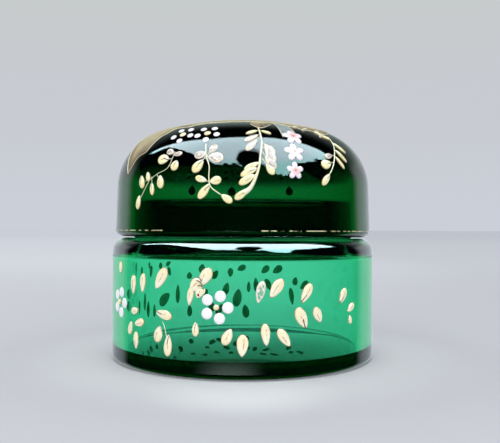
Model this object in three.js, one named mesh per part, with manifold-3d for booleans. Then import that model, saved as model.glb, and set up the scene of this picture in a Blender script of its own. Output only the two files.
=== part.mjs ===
// Round green glass trinket box with a domed lift-off lid and raised enamel sprays. Millimetres, +Z up.
// The origin is the centre of the foot, on the table; the front of the box faces -Y.
import * as THREE from "three";
import { mergeVertices } from "three/addons/utils/BufferGeometryUtils.js";
import Module from "manifold-3d";

const wasm = await Module();
wasm.setup();

// Base
const baseRadius = 45.0;
const baseWall = 5.4;
const floorThickness = 4.5;
const seatHeight = 40.8;
const footRound = 2.0;
const footRingWidth = 8.0;
const footRecess = 0.8;
const footRecessBlend = 2.5;
const shoulderRound = 4.6;
const floorFillet = 3.0;
const innerShoulderHeight = 4.2;
const innerShoulderDepth = 2.6;

// Collar that stands inside the lid
const collarHeight = 11.7;
const collarWall = 3.5;
const collarLipRound = 1.2;
const collarClearance = 0.6;

// Lid
const lidHeight = 39.8;
const lidInset = 1.0;
const lidWall = 6.0;
const lidRimRound = 2.2;
const lidShoulderRadius = 20.0;
const lidCrownRadius = 102.0;
const lidDraftDegrees = 1.55;
const seatGap = 0.3;

// The enamel pattern is drawn once, for these radii and heights, and keeps its size on any glass
const basePatternRadius = 45.0;
const basePatternHeight = 40.8;
const lidPatternRadius = 44.0;
const lidPatternHeight = 71.8;

// Enamel
const enamelGap = 0.2;
const enamelRelief = 0.7;
const leafLength = 7.4;
const leafPointShare = 0.42;
const lidLeafLength = 4.8;
const stemRadius = 0.3;
const petioleRadius = 0.22;
const baseDotRadius = 1.5;
const baseDotRing = 3.35;
const lidDotRadius = 1.0;
const lidDotRing = 3.1;
const lidFlowerGap = 0.2;
const goldDotShare = 0.6;
const blossomRadius = 2.7;
const blossomGap = 0.7;
const petalNotchShare = 0.42;

// How finely round shapes are cut
const glassSides = 64;
const leafSides = 8;
const dotSides = 8;
const blossomSides = 20;
const stemSides = 5;
const stalkSides = 4;

// Sizes that follow from those above
const lidRimRadius = baseRadius - lidInset;
const lidInnerRadius = lidRimRadius - lidWall;
const collarOuterRadius = lidInnerRadius - collarClearance;
const collarInnerRadius = collarOuterRadius - collarWall;
const collarTop = seatHeight + collarHeight;
const bowlRadius = baseRadius - baseWall;
const lidRimHeight = seatHeight + seatGap;
const lidTop = lidRimHeight + lidHeight;
const draft = THREE.MathUtils.degToRad(lidDraftDegrees);

// Colours and finishes
const baseGlass = { color: 0x3cb98a, roughness: 0.05, metalness: 0 };
const lidGlass = { color: 0x0a4a22, roughness: 0.05, metalness: 0 };
const goldEnamel = { color: 0xefe0a8, roughness: 0.4, metalness: 0 };
const whiteEnamel = { color: 0xf7f7fb, roughness: 0.3, metalness: 0 };
const blossomEnamel = { color: 0xfbeef0, roughness: 0.3, metalness: 0 };

// Leaves on the base: turn is degrees round the pattern from the front, rise a share of its height, lean
// the way the tip points in degrees clockwise from up, length a share of the longest leaf, and width a
// share of the leaf's own length.
const baseLeafShares = [
  { turn: -59, rise: 0.77, lean: 180, length: 0.52, width: 0.6 },
  { turn: -48, rise: 0.65, lean: 180, length: 0.8, width: 0.42 },
  { turn: -42, rise: 0.67, lean: 183, length: 0.8, width: 0.41 },
  { turn: -32.5, rise: 0.71, lean: 212, length: 1.0, width: 0.48 },
  { turn: -47, rise: 0.455, lean: 75, length: 0.5, width: 0.62 },
  { turn: -31, rise: 0.45, lean: 282, length: 0.82, width: 0.46 },
  { turn: -44, rise: 0.37, lean: 255, length: 0.63, width: 0.54 },
  { turn: -50, rise: 0.32, lean: 15, length: 0.6, width: 0.5 },
  { turn: -46, rise: 0.235, lean: 178, length: 0.73, width: 0.43 },
  { turn: -33.5, rise: 0.305, lean: 15, length: 0.68, width: 0.63 },
  { turn: -29, rise: 0.23, lean: 4, length: 0.88, width: 0.44 },
  { turn: -17.5, rise: 0.36, lean: 0, length: 0.57, width: 0.52 },
  { turn: -5.5, rise: 0.315, lean: 25, length: 0.7, width: 0.56 },
  { turn: 0, rise: 0.255, lean: 182, length: 0.87, width: 0.53 },
  { turn: 6.5, rise: 0.63, lean: 193, length: 0.87, width: 0.42 },
  { turn: 12.5, rise: 0.655, lean: 215, length: 0.87, width: 0.52 },
  { turn: 24.5, rise: 0.615, lean: 210, length: 0.87, width: 0.47 },
  { turn: 8.5, rise: 0.33, lean: 175, length: 0.87, width: 0.42 },
  { turn: 15.5, rise: 0.305, lean: 145, length: 0.85, width: 0.45 },
  { turn: 22.5, rise: 0.44, lean: 153, length: 0.92, width: 0.53 },
  { turn: 29.5, rise: 0.455, lean: 155, length: 0.67, width: 0.58 },
  { turn: 42.5, rise: 0.58, lean: 212, length: 0.7, width: 0.54 },
  { turn: 47.5, rise: 0.485, lean: 235, length: 0.54, width: 0.55 },
  { turn: 47, rise: 0.395, lean: 350, length: 0.38, width: 0.6 },
];

// The curled leaf beside the dotted flower: its middle, and four dabs that run into each other round it.
// Right and up are shares of the longest leaf.
const curledLeafPlaceShares = { turn: -17.4, rise: 0.672 };
const curledLeafDabShares = [
  { right: 0.38, up: 0.33, lean: 212, length: 0.72, width: 0.6 },
  { right: 0, up: 0, lean: 230, length: 0.52, width: 0.85 },
  { right: -0.23, up: -0.45, lean: 188, length: 0.72, width: 0.32 },
  { right: 0.15, up: -0.3, lean: 200, length: 0.36, width: 0.85 },
];

// Dotted flowers: centre, and the clock angle of the first of five white dots
const baseFlowerShares = [
  { turn: -9.6, rise: 0.52, first: 20 },
  { turn: -59.5, rise: 0.5, first: 20 },
];

// The pair of dotted flowers on the lid: the left one's place, and the right one beside it
const lidFlowerShare = { turn: -30.2, rise: 0.464, first: 32 };
const lidFlowers = 2;

// Blossoms on the lid: the highest one's place, and the clock angle of each one's first petal
const blossomPlaceShare = { turn: 23.2, rise: 0.448 };
const blossomTurnShares = [-30, -16, -8];

// Sprays on the lid: the stem's points, then leaves, each with the share of the stem at which it grows.
// Rise is a share of the pattern's height, up the outside from the rim to the middle of the crown.
const lidSprayShares = [
  {
    stem: [
      { turn: -29.6, rise: 0.362 },
      { turn: -31.3, rise: 0.292 },
      { turn: -36.6, rise: 0.265 },
      { turn: -41, rise: 0.239 },
    ],
    leaves: [
      { turn: -32, rise: 0.37, length: 0.5, width: 0.8, grows: 0.04 },
      { turn: -34.6, rise: 0.334, length: 0.75, width: 0.8, grows: 0.2 },
      { turn: -26.8, rise: 0.354, length: 0.62, width: 0.6, grows: 0.08 },
      { turn: -27.2, rise: 0.305, length: 0.6, width: 0.85, grows: 0.3 },
      { turn: -42.5, rise: 0.27, length: 0.55, width: 0.72, grows: 0.85 },
      { turn: -45.8, rise: 0.243, length: 0.72, width: 0.8, grows: 0.98 },
      { turn: -34.6, rise: 0.236, length: 0.7, width: 0.72, grows: 0.68 },
      { turn: -39, rise: 0.205, length: 0.72, width: 0.6, grows: 0.88 },
    ],
  },
  {
    stem: [
      { turn: -16.1, rise: 0.394 },
      { turn: -14.9, rise: 0.334 },
      { turn: -13.3, rise: 0.29 },
      { turn: -13.2, rise: 0.24 },
      { turn: -12.3, rise: 0.204 },
      { turn: -8.6, rise: 0.175 },
    ],
    leaves: [
      { turn: -18.6, rise: 0.35, length: 0.68, width: 0.78, grows: 0.22 },
      { turn: -12.4, rise: 0.383, length: 0.72, width: 0.75, grows: 0.24 },
      { turn: -10.7, rise: 0.336, length: 0.82, width: 0.82, grows: 0.26 },
      { turn: -18.1, rise: 0.293, length: 0.95, width: 0.62, grows: 0.34 },
      { turn: -16.8, rise: 0.243, length: 0.6, width: 0.7, grows: 0.68 },
      { turn: -9.9, rise: 0.238, length: 0.6, width: 0.78, grows: 0.68 },
      { turn: -15.2, rise: 0.19, length: 0.98, width: 0.5, grows: 0.76 },
      { turn: -6.2, rise: 0.158, length: 0.75, width: 0.6, grows: 0.98 },
    ],
  },
  {
    stem: [
      { turn: 7.4, rise: 0.5 },
      { turn: 7.8, rise: 0.407 },
      { turn: 6.8, rise: 0.341 },
      { turn: 6.1, rise: 0.29 },
      { turn: 4.6, rise: 0.24 },
      { turn: 2.6, rise: 0.2 },
      { turn: 0.2, rise: 0.181 },
    ],
    leaves: [
      { turn: 3.6, rise: 0.478, length: 0.75, width: 0.42, grows: 0.06 },
      { turn: 3.3, rise: 0.437, length: 1.0, width: 0.38, grows: 0.14 },
      { turn: 3.4, rise: 0.396, length: 0.85, width: 0.45, grows: 0.26 },
      { turn: 11, rise: 0.475, length: 0.6, width: 0.4, grows: 0.06 },
      { turn: 10.9, rise: 0.399, length: 0.75, width: 0.5, grows: 0.22 },
      { turn: 11, rise: 0.36, length: 0.82, width: 0.48, grows: 0.34 },
      { turn: 10.7, rise: 0.32, length: 0.85, width: 0.46, grows: 0.44 },
      { turn: 9.8, rise: 0.28, length: 0.82, width: 0.45, grows: 0.54 },
      { turn: 3.2, rise: 0.3, length: 0.78, width: 0.42, grows: 0.52 },
      { turn: 2.3, rise: 0.268, length: 0.9, width: 0.4, grows: 0.62 },
      { turn: 1.2, rise: 0.235, length: 0.86, width: 0.44, grows: 0.74 },
      { turn: -1.3, rise: 0.175, length: 0.95, width: 0.34, grows: 0.97 },
    ],
  },
  {
    stem: [
      { turn: 47.4, rise: 0.475 },
      { turn: 46.2, rise: 0.421 },
      { turn: 42.8, rise: 0.36 },
      { turn: 39.7, rise: 0.306 },
      { turn: 37.2, rise: 0.272 },
    ],
    leaves: [
      { turn: 42.6, rise: 0.47, length: 0.75, width: 0.45, grows: 0.06 },
      { turn: 49.2, rise: 0.4, length: 0.85, width: 0.36, grows: 0.3 },
      { turn: 46.8, rise: 0.358, length: 0.85, width: 0.36, grows: 0.5 },
      { turn: 44.2, rise: 0.318, length: 0.8, width: 0.4, grows: 0.68 },
      { turn: 38, rise: 0.352, length: 0.7, width: 0.6, grows: 0.6 },
      { turn: 35.6, rise: 0.312, length: 0.8, width: 0.72, grows: 0.84 },
      { turn: 34.9, rise: 0.245, length: 0.95, width: 0.5, grows: 0.98 },
    ],
  },
];

// A dab's section, from its crown to its underside
const dabSectionShares = [
  { reach: 0, lift: 1 },
  { reach: 0.72, lift: 0.85 },
  { reach: 1, lift: 0.35 },
  { reach: 0.92, lift: 0 },
  { reach: 0, lift: 0 },
];

// Points on an arc or a quarter ellipse, first and last included
function arcPoints(centre, radiusX, radiusY, startDegrees, endDegrees, steps) {
  return Array.from({ length: steps + 1 }, (_, i) => {
    const angle = THREE.MathUtils.degToRad(THREE.MathUtils.lerp(startDegrees, endDegrees, i / steps));
    return new THREE.Vector2(
      centre.x + radiusX * Math.cos(angle),
      centre.y + radiusY * Math.sin(angle),
    );
  });
}

function at(x, y) {
  return new THREE.Vector2(x, y);
}

// Outside of the base from the foot ring to the seat
function baseOutside() {
  return [
    at(baseRadius - footRingWidth, 0),
    ...arcPoints(at(baseRadius - footRound, footRound), footRound, footRound, -90, 0, 3),
    ...arcPoints(
      at(baseRadius - shoulderRound, seatHeight - shoulderRound), shoulderRound, shoulderRound, 0, 90, 6,
    ),
  ];
}

// The whole section of the base, from the middle of its underside round to the middle of its floor
function baseSection() {
  const recessEdge = baseRadius - footRingWidth - footRecessBlend;
  const lip = collarLipRound;
  const innerShoulder = seatHeight - innerShoulderDepth - innerShoulderHeight;
  return [
    at(0, footRecess),
    ...arcPoints(at(recessEdge, 0), footRecessBlend, footRecess, 90, 0, 2).slice(0, -1),
    ...baseOutside(),
    at(collarOuterRadius, seatHeight),
    ...arcPoints(at(collarOuterRadius - lip, collarTop - lip), lip, lip, 0, 90, 2),
    ...arcPoints(at(collarInnerRadius + lip, collarTop - lip), lip, lip, 90, 180, 2),
    ...arcPoints(
      at(collarInnerRadius, innerShoulder), bowlRadius - collarInnerRadius, innerShoulderHeight, 90, 0, 5,
    ),
    ...arcPoints(
      at(bowlRadius - floorFillet, floorThickness + floorFillet), floorFillet, floorFillet, 0, -90, 3,
    ),
    at(0, floorThickness),
  ];
}

// A dome from its drafted wall to the middle of its crown: the shoulder arc touches wall and crown arc
function domePoints(rimRadius, rimHeight, top, shoulderRadius, crownRadius, shoulderSteps, crownSteps) {
  const slope = Math.tan(draft);
  const crownCentre = top - crownRadius;
  const reach = rimRadius - shoulderRadius / Math.cos(draft) + rimHeight * slope;
  const apart = crownRadius - shoulderRadius;
  const a = 1 + slope * slope;
  const b = -2 * (reach * slope + crownCentre);
  const c = reach * reach + crownCentre * crownCentre - apart * apart;
  const height = (-b + Math.sqrt(b * b - 4 * a * c)) / (2 * a);
  const centre = at(reach - height * slope, height);
  const meet = THREE.MathUtils.radToDeg(Math.atan2(centre.y - crownCentre, centre.x));
  return [
    ...arcPoints(centre, shoulderRadius, shoulderRadius, lidDraftDegrees, meet, shoulderSteps),
    ...arcPoints(at(0, crownCentre), crownRadius, crownRadius, meet, 90, crownSteps).slice(1),
  ];
}

// The lid's outside above the rounded rim, from the top of the wall to the middle of the crown
function lidOutside() {
  return domePoints(lidRimRadius, lidRimHeight, lidTop, lidShoulderRadius, lidCrownRadius, 8, 5);
}

// The whole section of the lid, from the middle of its inside down to the rim and up the outside
function lidSection() {
  const innerTop = lidTop - lidWall;
  const innerShoulder = lidShoulderRadius - lidWall;
  const innerCrown = lidCrownRadius - lidWall;
  const inside = domePoints(lidInnerRadius, lidRimHeight, innerTop, innerShoulder, innerCrown, 5, 3);
  const rim = arcPoints(
    at(lidRimRadius - lidRimRound, lidRimHeight + lidRimRound), lidRimRound, lidRimRound, -90, 0, 3,
  );
  return [...inside.reverse(), at(lidInnerRadius, lidRimHeight), ...rim, ...lidOutside()];
}

// A section turned about the box's own axis
function turned(section) {
  return new THREE.LatheGeometry(section, glassSides).rotateX(Math.PI / 2);
}

// The outside of a turned piece as a surface that enamel is laid on, with the size its pattern is drawn at
class GlassOutside {
  constructor(profile, patternRadius, patternHeight) {
    this.profile = profile;
    this.degree = (THREE.MathUtils.degToRad(1) * patternRadius) / profile[0].x;
    this.patternHeight = patternHeight;
    this.lengths = [0];
    profile.slice(1).forEach((point, i) => {
      this.lengths.push(this.lengths[i] + point.distanceTo(profile[i]));
    });
  }

  // Radius and height at a distance along the profile, with the way the glass faces there
  frame(distance) {
    const last = this.profile.length - 2;
    const found = this.lengths.findIndex((length) => length > distance);
    const i = found < 0 ? last : Math.max(found - 1, 0);
    const from = this.profile[i];
    const to = this.profile[i + 1];
    const share = (distance - this.lengths[i]) / (this.lengths[i + 1] - this.lengths[i]);
    const point = from.clone().lerp(to, share);
    const here = to.clone().sub(from).normalize();
    const beside = this.profile[Math.min(i + 2, last + 1)].clone().sub(to);
    const next = beside.length() > 0 ? beside.normalize() : here;
    const before = i > 0 ? from.clone().sub(this.profile[i - 1]).normalize() : here;
    const start = before.add(here).normalize();
    const end = next.clone().add(here).normalize();
    const along = start.lerp(end, share).normalize();
    return { point, normal: at(along.y, -along.x) };
  }

  // A point at an angle round the glass and a distance up it, lifted off along the way the glass faces
  place(turnRadians, distance, lift) {
    const { point, normal } = this.frame(distance);
    const radius = point.x + normal.x * lift;
    return new THREE.Vector3(
      radius * Math.sin(turnRadians),
      -radius * Math.cos(turnRadians),
      point.y + normal.y * lift,
    );
  }

}

// Degrees round the pattern and a share of its height, as a spot on the glass
function spotOn(glass, { turn, rise }) {
  return { turn: turn * glass.degree, distance: rise * glass.patternHeight, glass };
}

// The spot a length to the right and a length up from another
function spotBeside(spot, right, up) {
  const radius = spot.glass.frame(spot.distance).point.x;
  return { turn: spot.turn + right / radius, distance: spot.distance + up, glass: spot.glass };
}

function pointOver(spot, lift) {
  return spot.glass.place(spot.turn, spot.distance, lift);
}

// Outlines in the dab's own plane for a unit angle; y points to the tip
function leafOutline(angle, length, width) {
  const along = Math.cos(angle);
  const taper = 1 - leafPointShare * (1 + along) * 0.5 * (1 + along) * 0.5;
  return at(Math.sin(angle) * taper * width * 0.5, along * length * 0.5);
}

function roundOutline(angle, radius) {
  return at(Math.sin(angle) * radius, Math.cos(angle) * radius);
}

function blossomOutline(angle, radius) {
  const petal = Math.abs(Math.cos(angle * 2.5));
  return roundOutline(angle, radius * (1 - petalNotchShare * (1 - Math.sqrt(petal))));
}

// A crowned dab of enamel laid on the glass: its outline is turned by the lean and bent to the surface
function dab(spot, leanDegrees, outline, sides) {
  const section = dabSectionShares.map(({ reach, lift }) => at(reach, lift));
  const geometry = new THREE.LatheGeometry(section, sides);
  const position = geometry.getAttribute("position");
  const lean = THREE.MathUtils.degToRad(leanDegrees);
  for (let i = 0; i < position.count; i++) {
    const x = position.getX(i);
    const z = position.getZ(i);
    const reach = Math.hypot(x, z);
    const edge = outline(Math.atan2(x, z));
    const right = reach * (edge.x * Math.cos(lean) + edge.y * Math.sin(lean));
    const up = reach * (edge.y * Math.cos(lean) - edge.x * Math.sin(lean));
    const lift = enamelGap + enamelRelief * position.getY(i);
    const bent = pointOver(spotBeside(spot, right, up), lift);
    position.setXYZ(i, bent.x, bent.y, bent.z);
  }
  return geometry;
}

function leaf(spot, leanDegrees, length, width) {
  return dab(spot, leanDegrees, (angle) => leafOutline(angle, length, width), leafSides);
}

function dot(spot, radius) {
  return dab(spot, 0, (angle) => roundOutline(angle, radius), dotSides);
}

function blossom(spot, firstDegrees, radius) {
  return dab(spot, firstDegrees, (angle) => blossomOutline(angle, radius), blossomSides);
}

// A thin round trail of enamel through points that lie on the glass
function trail(points, radius, sides, steps) {
  const shape = new THREE.Shape();
  for (let i = 0; i < sides; i++) {
    const angle = (i / sides) * Math.PI * 2;
    const method = i ? "lineTo" : "moveTo";
    shape[method](radius * Math.cos(angle), radius * Math.sin(angle));
  }
  shape.closePath();
  const extrudePath = new THREE.CatmullRomCurve3(points);
  return new THREE.ExtrudeGeometry(shape, { steps, bevelEnabled: false, extrudePath });
}

// A closed geometry as a manifold-3d solid, and back
function solidOf(geometry) {
  const bare = geometry.clone();
  bare.deleteAttribute("normal");
  bare.deleteAttribute("uv");
  const merged = mergeVertices(bare);
  return new wasm.Manifold(new wasm.Mesh({
    numProp: 3,
    vertProperties: merged.getAttribute("position").array,
    triVerts: new Uint32Array(merged.index.array),
  }));
}

function geometryOf(solid) {
  const mesh = solid.getMesh();
  const geometry = new THREE.BufferGeometry();
  geometry.setAttribute("position", new THREE.BufferAttribute(mesh.vertProperties, mesh.numProp));
  geometry.setIndex(new THREE.BufferAttribute(mesh.triVerts, 1));
  geometry.computeVertexNormals();
  return geometry;
}

function joined(geometries) {
  return geometryOf(geometries.map(solidOf).reduce((all, next) => all.add(next)));
}

// The spot at a share of a spray's stem, read along its points
function stemSpot(glass, stem, share) {
  const along = share * (stem.length - 1);
  const i = Math.min(Math.floor(along), stem.length - 2);
  const turn = THREE.MathUtils.lerp(stem[i].turn, stem[i + 1].turn, along - i);
  const rise = THREE.MathUtils.lerp(stem[i].rise, stem[i + 1].rise, along - i);
  return spotOn(glass, { turn, rise });
}

// A stem with its leaves, each turned so that its tip meets the stem by a short stalk
function spray(glass, { stem, leaves }) {
  const lift = enamelGap + stemRadius;
  const stemPoints = stem.map((point) => pointOver(spotOn(glass, point), lift));
  const pieces = [trail(stemPoints, stemRadius, stemSides, 2 * (stem.length - 1))];
  leaves.forEach(({ turn, rise, length, width, grows }) => {
    const spot = spotOn(glass, { turn, rise });
    const root = stemSpot(glass, stem, grows);
    const right = (root.turn - spot.turn) * glass.frame(spot.distance).point.x;
    const up = root.distance - spot.distance;
    const lean = THREE.MathUtils.radToDeg(Math.atan2(right, up));
    pieces.push(leaf(spot, lean, length * lidLeafLength, width * length * lidLeafLength));
    const stalk = [0, 0.5, 1].map((share) => pointOver(spotBeside(spot, right * share, up * share), lift));
    pieces.push(trail(stalk, petioleRadius, stalkSides, 2));
  });
  return joined(pieces);
}

const box = new THREE.Group();

function addMesh(name, geometry, finish) {
  const mesh = new THREE.Mesh(geometry, new THREE.MeshStandardMaterial(finish));
  mesh.name = name;
  box.add(mesh);
}

// Five white dots round a gold one
function addFlower(prefix, number, middle, first, ring, dotRadius) {
  addMesh(`${prefix}_gold_dot_${number}`, dot(middle, dotRadius * goldDotShare), goldEnamel);
  for (let i = 0; i < 5; i++) {
    const angle = THREE.MathUtils.degToRad(first + 72 * i);
    const spot = spotBeside(middle, ring * Math.sin(angle), ring * Math.cos(angle));
    addMesh(`${prefix}_white_dot_${number}_${i + 1}`, dot(spot, dotRadius), whiteEnamel);
  }
}

// Base glass and the enamel on it
function addBase() {
  const wall = [at(baseRadius, 0), at(baseRadius, seatHeight)];
  const glass = new GlassOutside(wall, basePatternRadius, basePatternHeight);
  const baseLeaf = (spot, { lean, length, width }) =>
    leaf(spot, lean, length * leafLength, width * length * leafLength);
  addMesh("base_bowl", turned(baseSection()), baseGlass);
  baseLeafShares.forEach((shares, i) => {
    addMesh(`base_leaf_${i + 1}`, baseLeaf(spotOn(glass, shares), shares), goldEnamel);
  });
  const middle = spotOn(glass, curledLeafPlaceShares);
  addMesh("base_curled_leaf", joined(curledLeafDabShares.map((shares) =>
    baseLeaf(spotBeside(middle, shares.right * leafLength, shares.up * leafLength), shares),
  )), goldEnamel);
  baseFlowerShares.forEach((shares, i) => {
    addFlower("base", i + 1, spotOn(glass, shares), shares.first, baseDotRing, baseDotRadius);
  });
}

// Lid glass and the enamel on it
function addLid() {
  const outside = [at(lidRimRadius, lidRimHeight), ...lidOutside()];
  const glass = new GlassOutside(outside, lidPatternRadius, lidPatternHeight);
  addMesh("lid_dome", turned(lidSection()), lidGlass);
  lidSprayShares.forEach((shares, i) => {
    addMesh(`lid_spray_${i + 1}`, spray(glass, shares), goldEnamel);
  });
  const highest = spotOn(glass, blossomPlaceShare);
  const drop = 2 * blossomRadius + blossomGap;
  blossomTurnShares.forEach((first, i) => {
    const spot = spotBeside(highest, 0, -drop * i);
    addMesh(`lid_blossom_${i + 1}`, blossom(spot, first, blossomRadius), blossomEnamel);
  });
  const apart = 2 * (lidDotRing + lidDotRadius) + lidFlowerGap;
  for (let i = 0; i < lidFlowers; i++) {
    const spot = spotBeside(spotOn(glass, lidFlowerShare), apart * i, 0);
    addFlower("lid", i + 1, spot, lidFlowerShare.first, lidDotRing, lidDotRadius);
  }
}

addBase();
addLid();

export default box;
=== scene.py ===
"""Round green glass trinket box with a domed lid and fired enamel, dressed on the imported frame.

Metres, +Z up, the front of the box faces -Y. A turn is an angle round the box from the front towards +X, in
radians, and a distance runs up the outside of a glass along its profile. A lean is the way that a dab's tip
points, clockwise from up as seen from outside.
"""

import logging
import math
import random
from collections.abc import Sequence
from dataclasses import dataclass, field, replace
from enum import Enum
from functools import partial, reduce

import bpy
from mathutils import Matrix, Vector


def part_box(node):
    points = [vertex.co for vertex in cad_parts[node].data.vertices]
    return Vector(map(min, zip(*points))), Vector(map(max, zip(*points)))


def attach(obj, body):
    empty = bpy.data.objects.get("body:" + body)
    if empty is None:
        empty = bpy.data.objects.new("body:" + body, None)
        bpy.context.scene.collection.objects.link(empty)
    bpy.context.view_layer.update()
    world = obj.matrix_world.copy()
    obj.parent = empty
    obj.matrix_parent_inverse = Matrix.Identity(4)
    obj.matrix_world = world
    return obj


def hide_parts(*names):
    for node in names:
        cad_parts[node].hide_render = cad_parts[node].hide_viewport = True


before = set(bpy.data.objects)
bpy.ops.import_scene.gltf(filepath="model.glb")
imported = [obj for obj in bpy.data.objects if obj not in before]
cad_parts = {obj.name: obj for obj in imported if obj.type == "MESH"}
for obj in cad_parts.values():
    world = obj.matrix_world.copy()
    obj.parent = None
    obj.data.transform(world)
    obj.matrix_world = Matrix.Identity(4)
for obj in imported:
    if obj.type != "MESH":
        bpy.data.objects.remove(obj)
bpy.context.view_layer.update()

LOG = logging.getLogger("trinket_box")
MM = 0.001
FULL_TURN = 2 * math.pi
# Steps of a full turn of glass and of the arcs in its section
GLASS_STEPS = 256
DOME_STEPS = 60
HOLLOW_STEPS = 48
SHOULDER_STEPS = 22
ROUND_STEPS = 14
FILLET_STEPS = 12
LIP_STEPS = 10
BLEND_STEPS = 8
BEAD_STEPS = 6
# Steps along and across the gilding
OUTLINE_STEPS = 240
RIM_LINE_STEPS = 40
PANEL_ROWS = 36
HANGING_ROWS = 6
RIM_LINE_ROWS = 2
# Points nearer than this become one
SEAM_GAP = 0.002 * MM
# Longer straight runs of a section get extra points, the outer ones this near to their ends
LONGEST_RUN = 0.6 * MM
RUN_END = 0.12 * MM
# How far dabs and films lie in the glass
DAB_SINK = 0.05 * MM
FILM_SINK = 0.02 * MM

Colour = tuple[float, float, float, float]
Triple = tuple[float, float, float]
Point = tuple[float, float]
Socket = bpy.types.NodeSocket
Value = float | int | str | tuple | Socket | bpy.types.ID
Inputs = dict[str | int, Value]

BLACK: Colour = (0.0, 0.0, 0.0, 1.0)
CLEAR: Colour = (1.0, 1.0, 1.0, 1.0)

FLOAT = "NodeSocketFloat"
VECTOR = "NodeSocketVector"
GEOMETRY = "NodeSocketGeometry"
OBJECT = "NodeSocketObject"
MATERIAL = "NodeSocketMaterial"
INTEGER = "NodeSocketInt"


class Body(Enum):
    """The two loose pieces of the box."""

    BASE = "base"
    LID = "lid"


class Slot(Enum):
    """Material slots of the record."""

    BASE_GLASS = "base_glass"
    LID_GLASS = "lid_glass"
    GOLD = "gold_enamel"
    WHITE = "white_enamel"
    BLOSSOM = "blossom_enamel"


# How much slimmer a leaf is at its tip than at its root, and for a blossom the depth of the notches as a
# share of its reach, the fullness of its petals and how many there are
LEAF_POINT_SHARE = 0.42
PETAL_NOTCH_SHARE = 0.54
PETAL_FULLNESS = 0.8
PETALS = 5


class Shape(Enum):
    """Outlines that a dab of enamel is laid in, by the number of sides that each is drawn with."""

    LEAF = 26
    ROUND = 20
    BLOSSOM = 60

    def edge(self, angle: float) -> Point:
        """Gives a point on the edge of a dab of unit length and width.

        Args:
            angle: The angle round the dab from its tip.

        Returns:
            How far the point is to the side and towards the tip.
        """
        width = length = 0.5
        if self is Shape.LEAF:
            width *= 1 - LEAF_POINT_SHARE * ((1 + math.cos(angle)) / 2) ** 2
        if self is Shape.BLOSSOM:
            petal = abs(math.cos(angle * PETALS / 2)) ** PETAL_FULLNESS
            width = length = (1 - PETAL_NOTCH_SHARE * (1 - petal)) / 2
        return math.sin(angle) * width, math.cos(angle) * length


def srgb(red: int, green: int, blue: int) -> Colour:
    """Gives the linear colour of an 8-bit one."""
    shares = [level / 255 for level in (red, green, blue)]
    return (*(s / 12.92 if s <= 0.04045 else ((s + 0.055) / 1.055) ** 2.4 for s in shares), 1.0)


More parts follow.
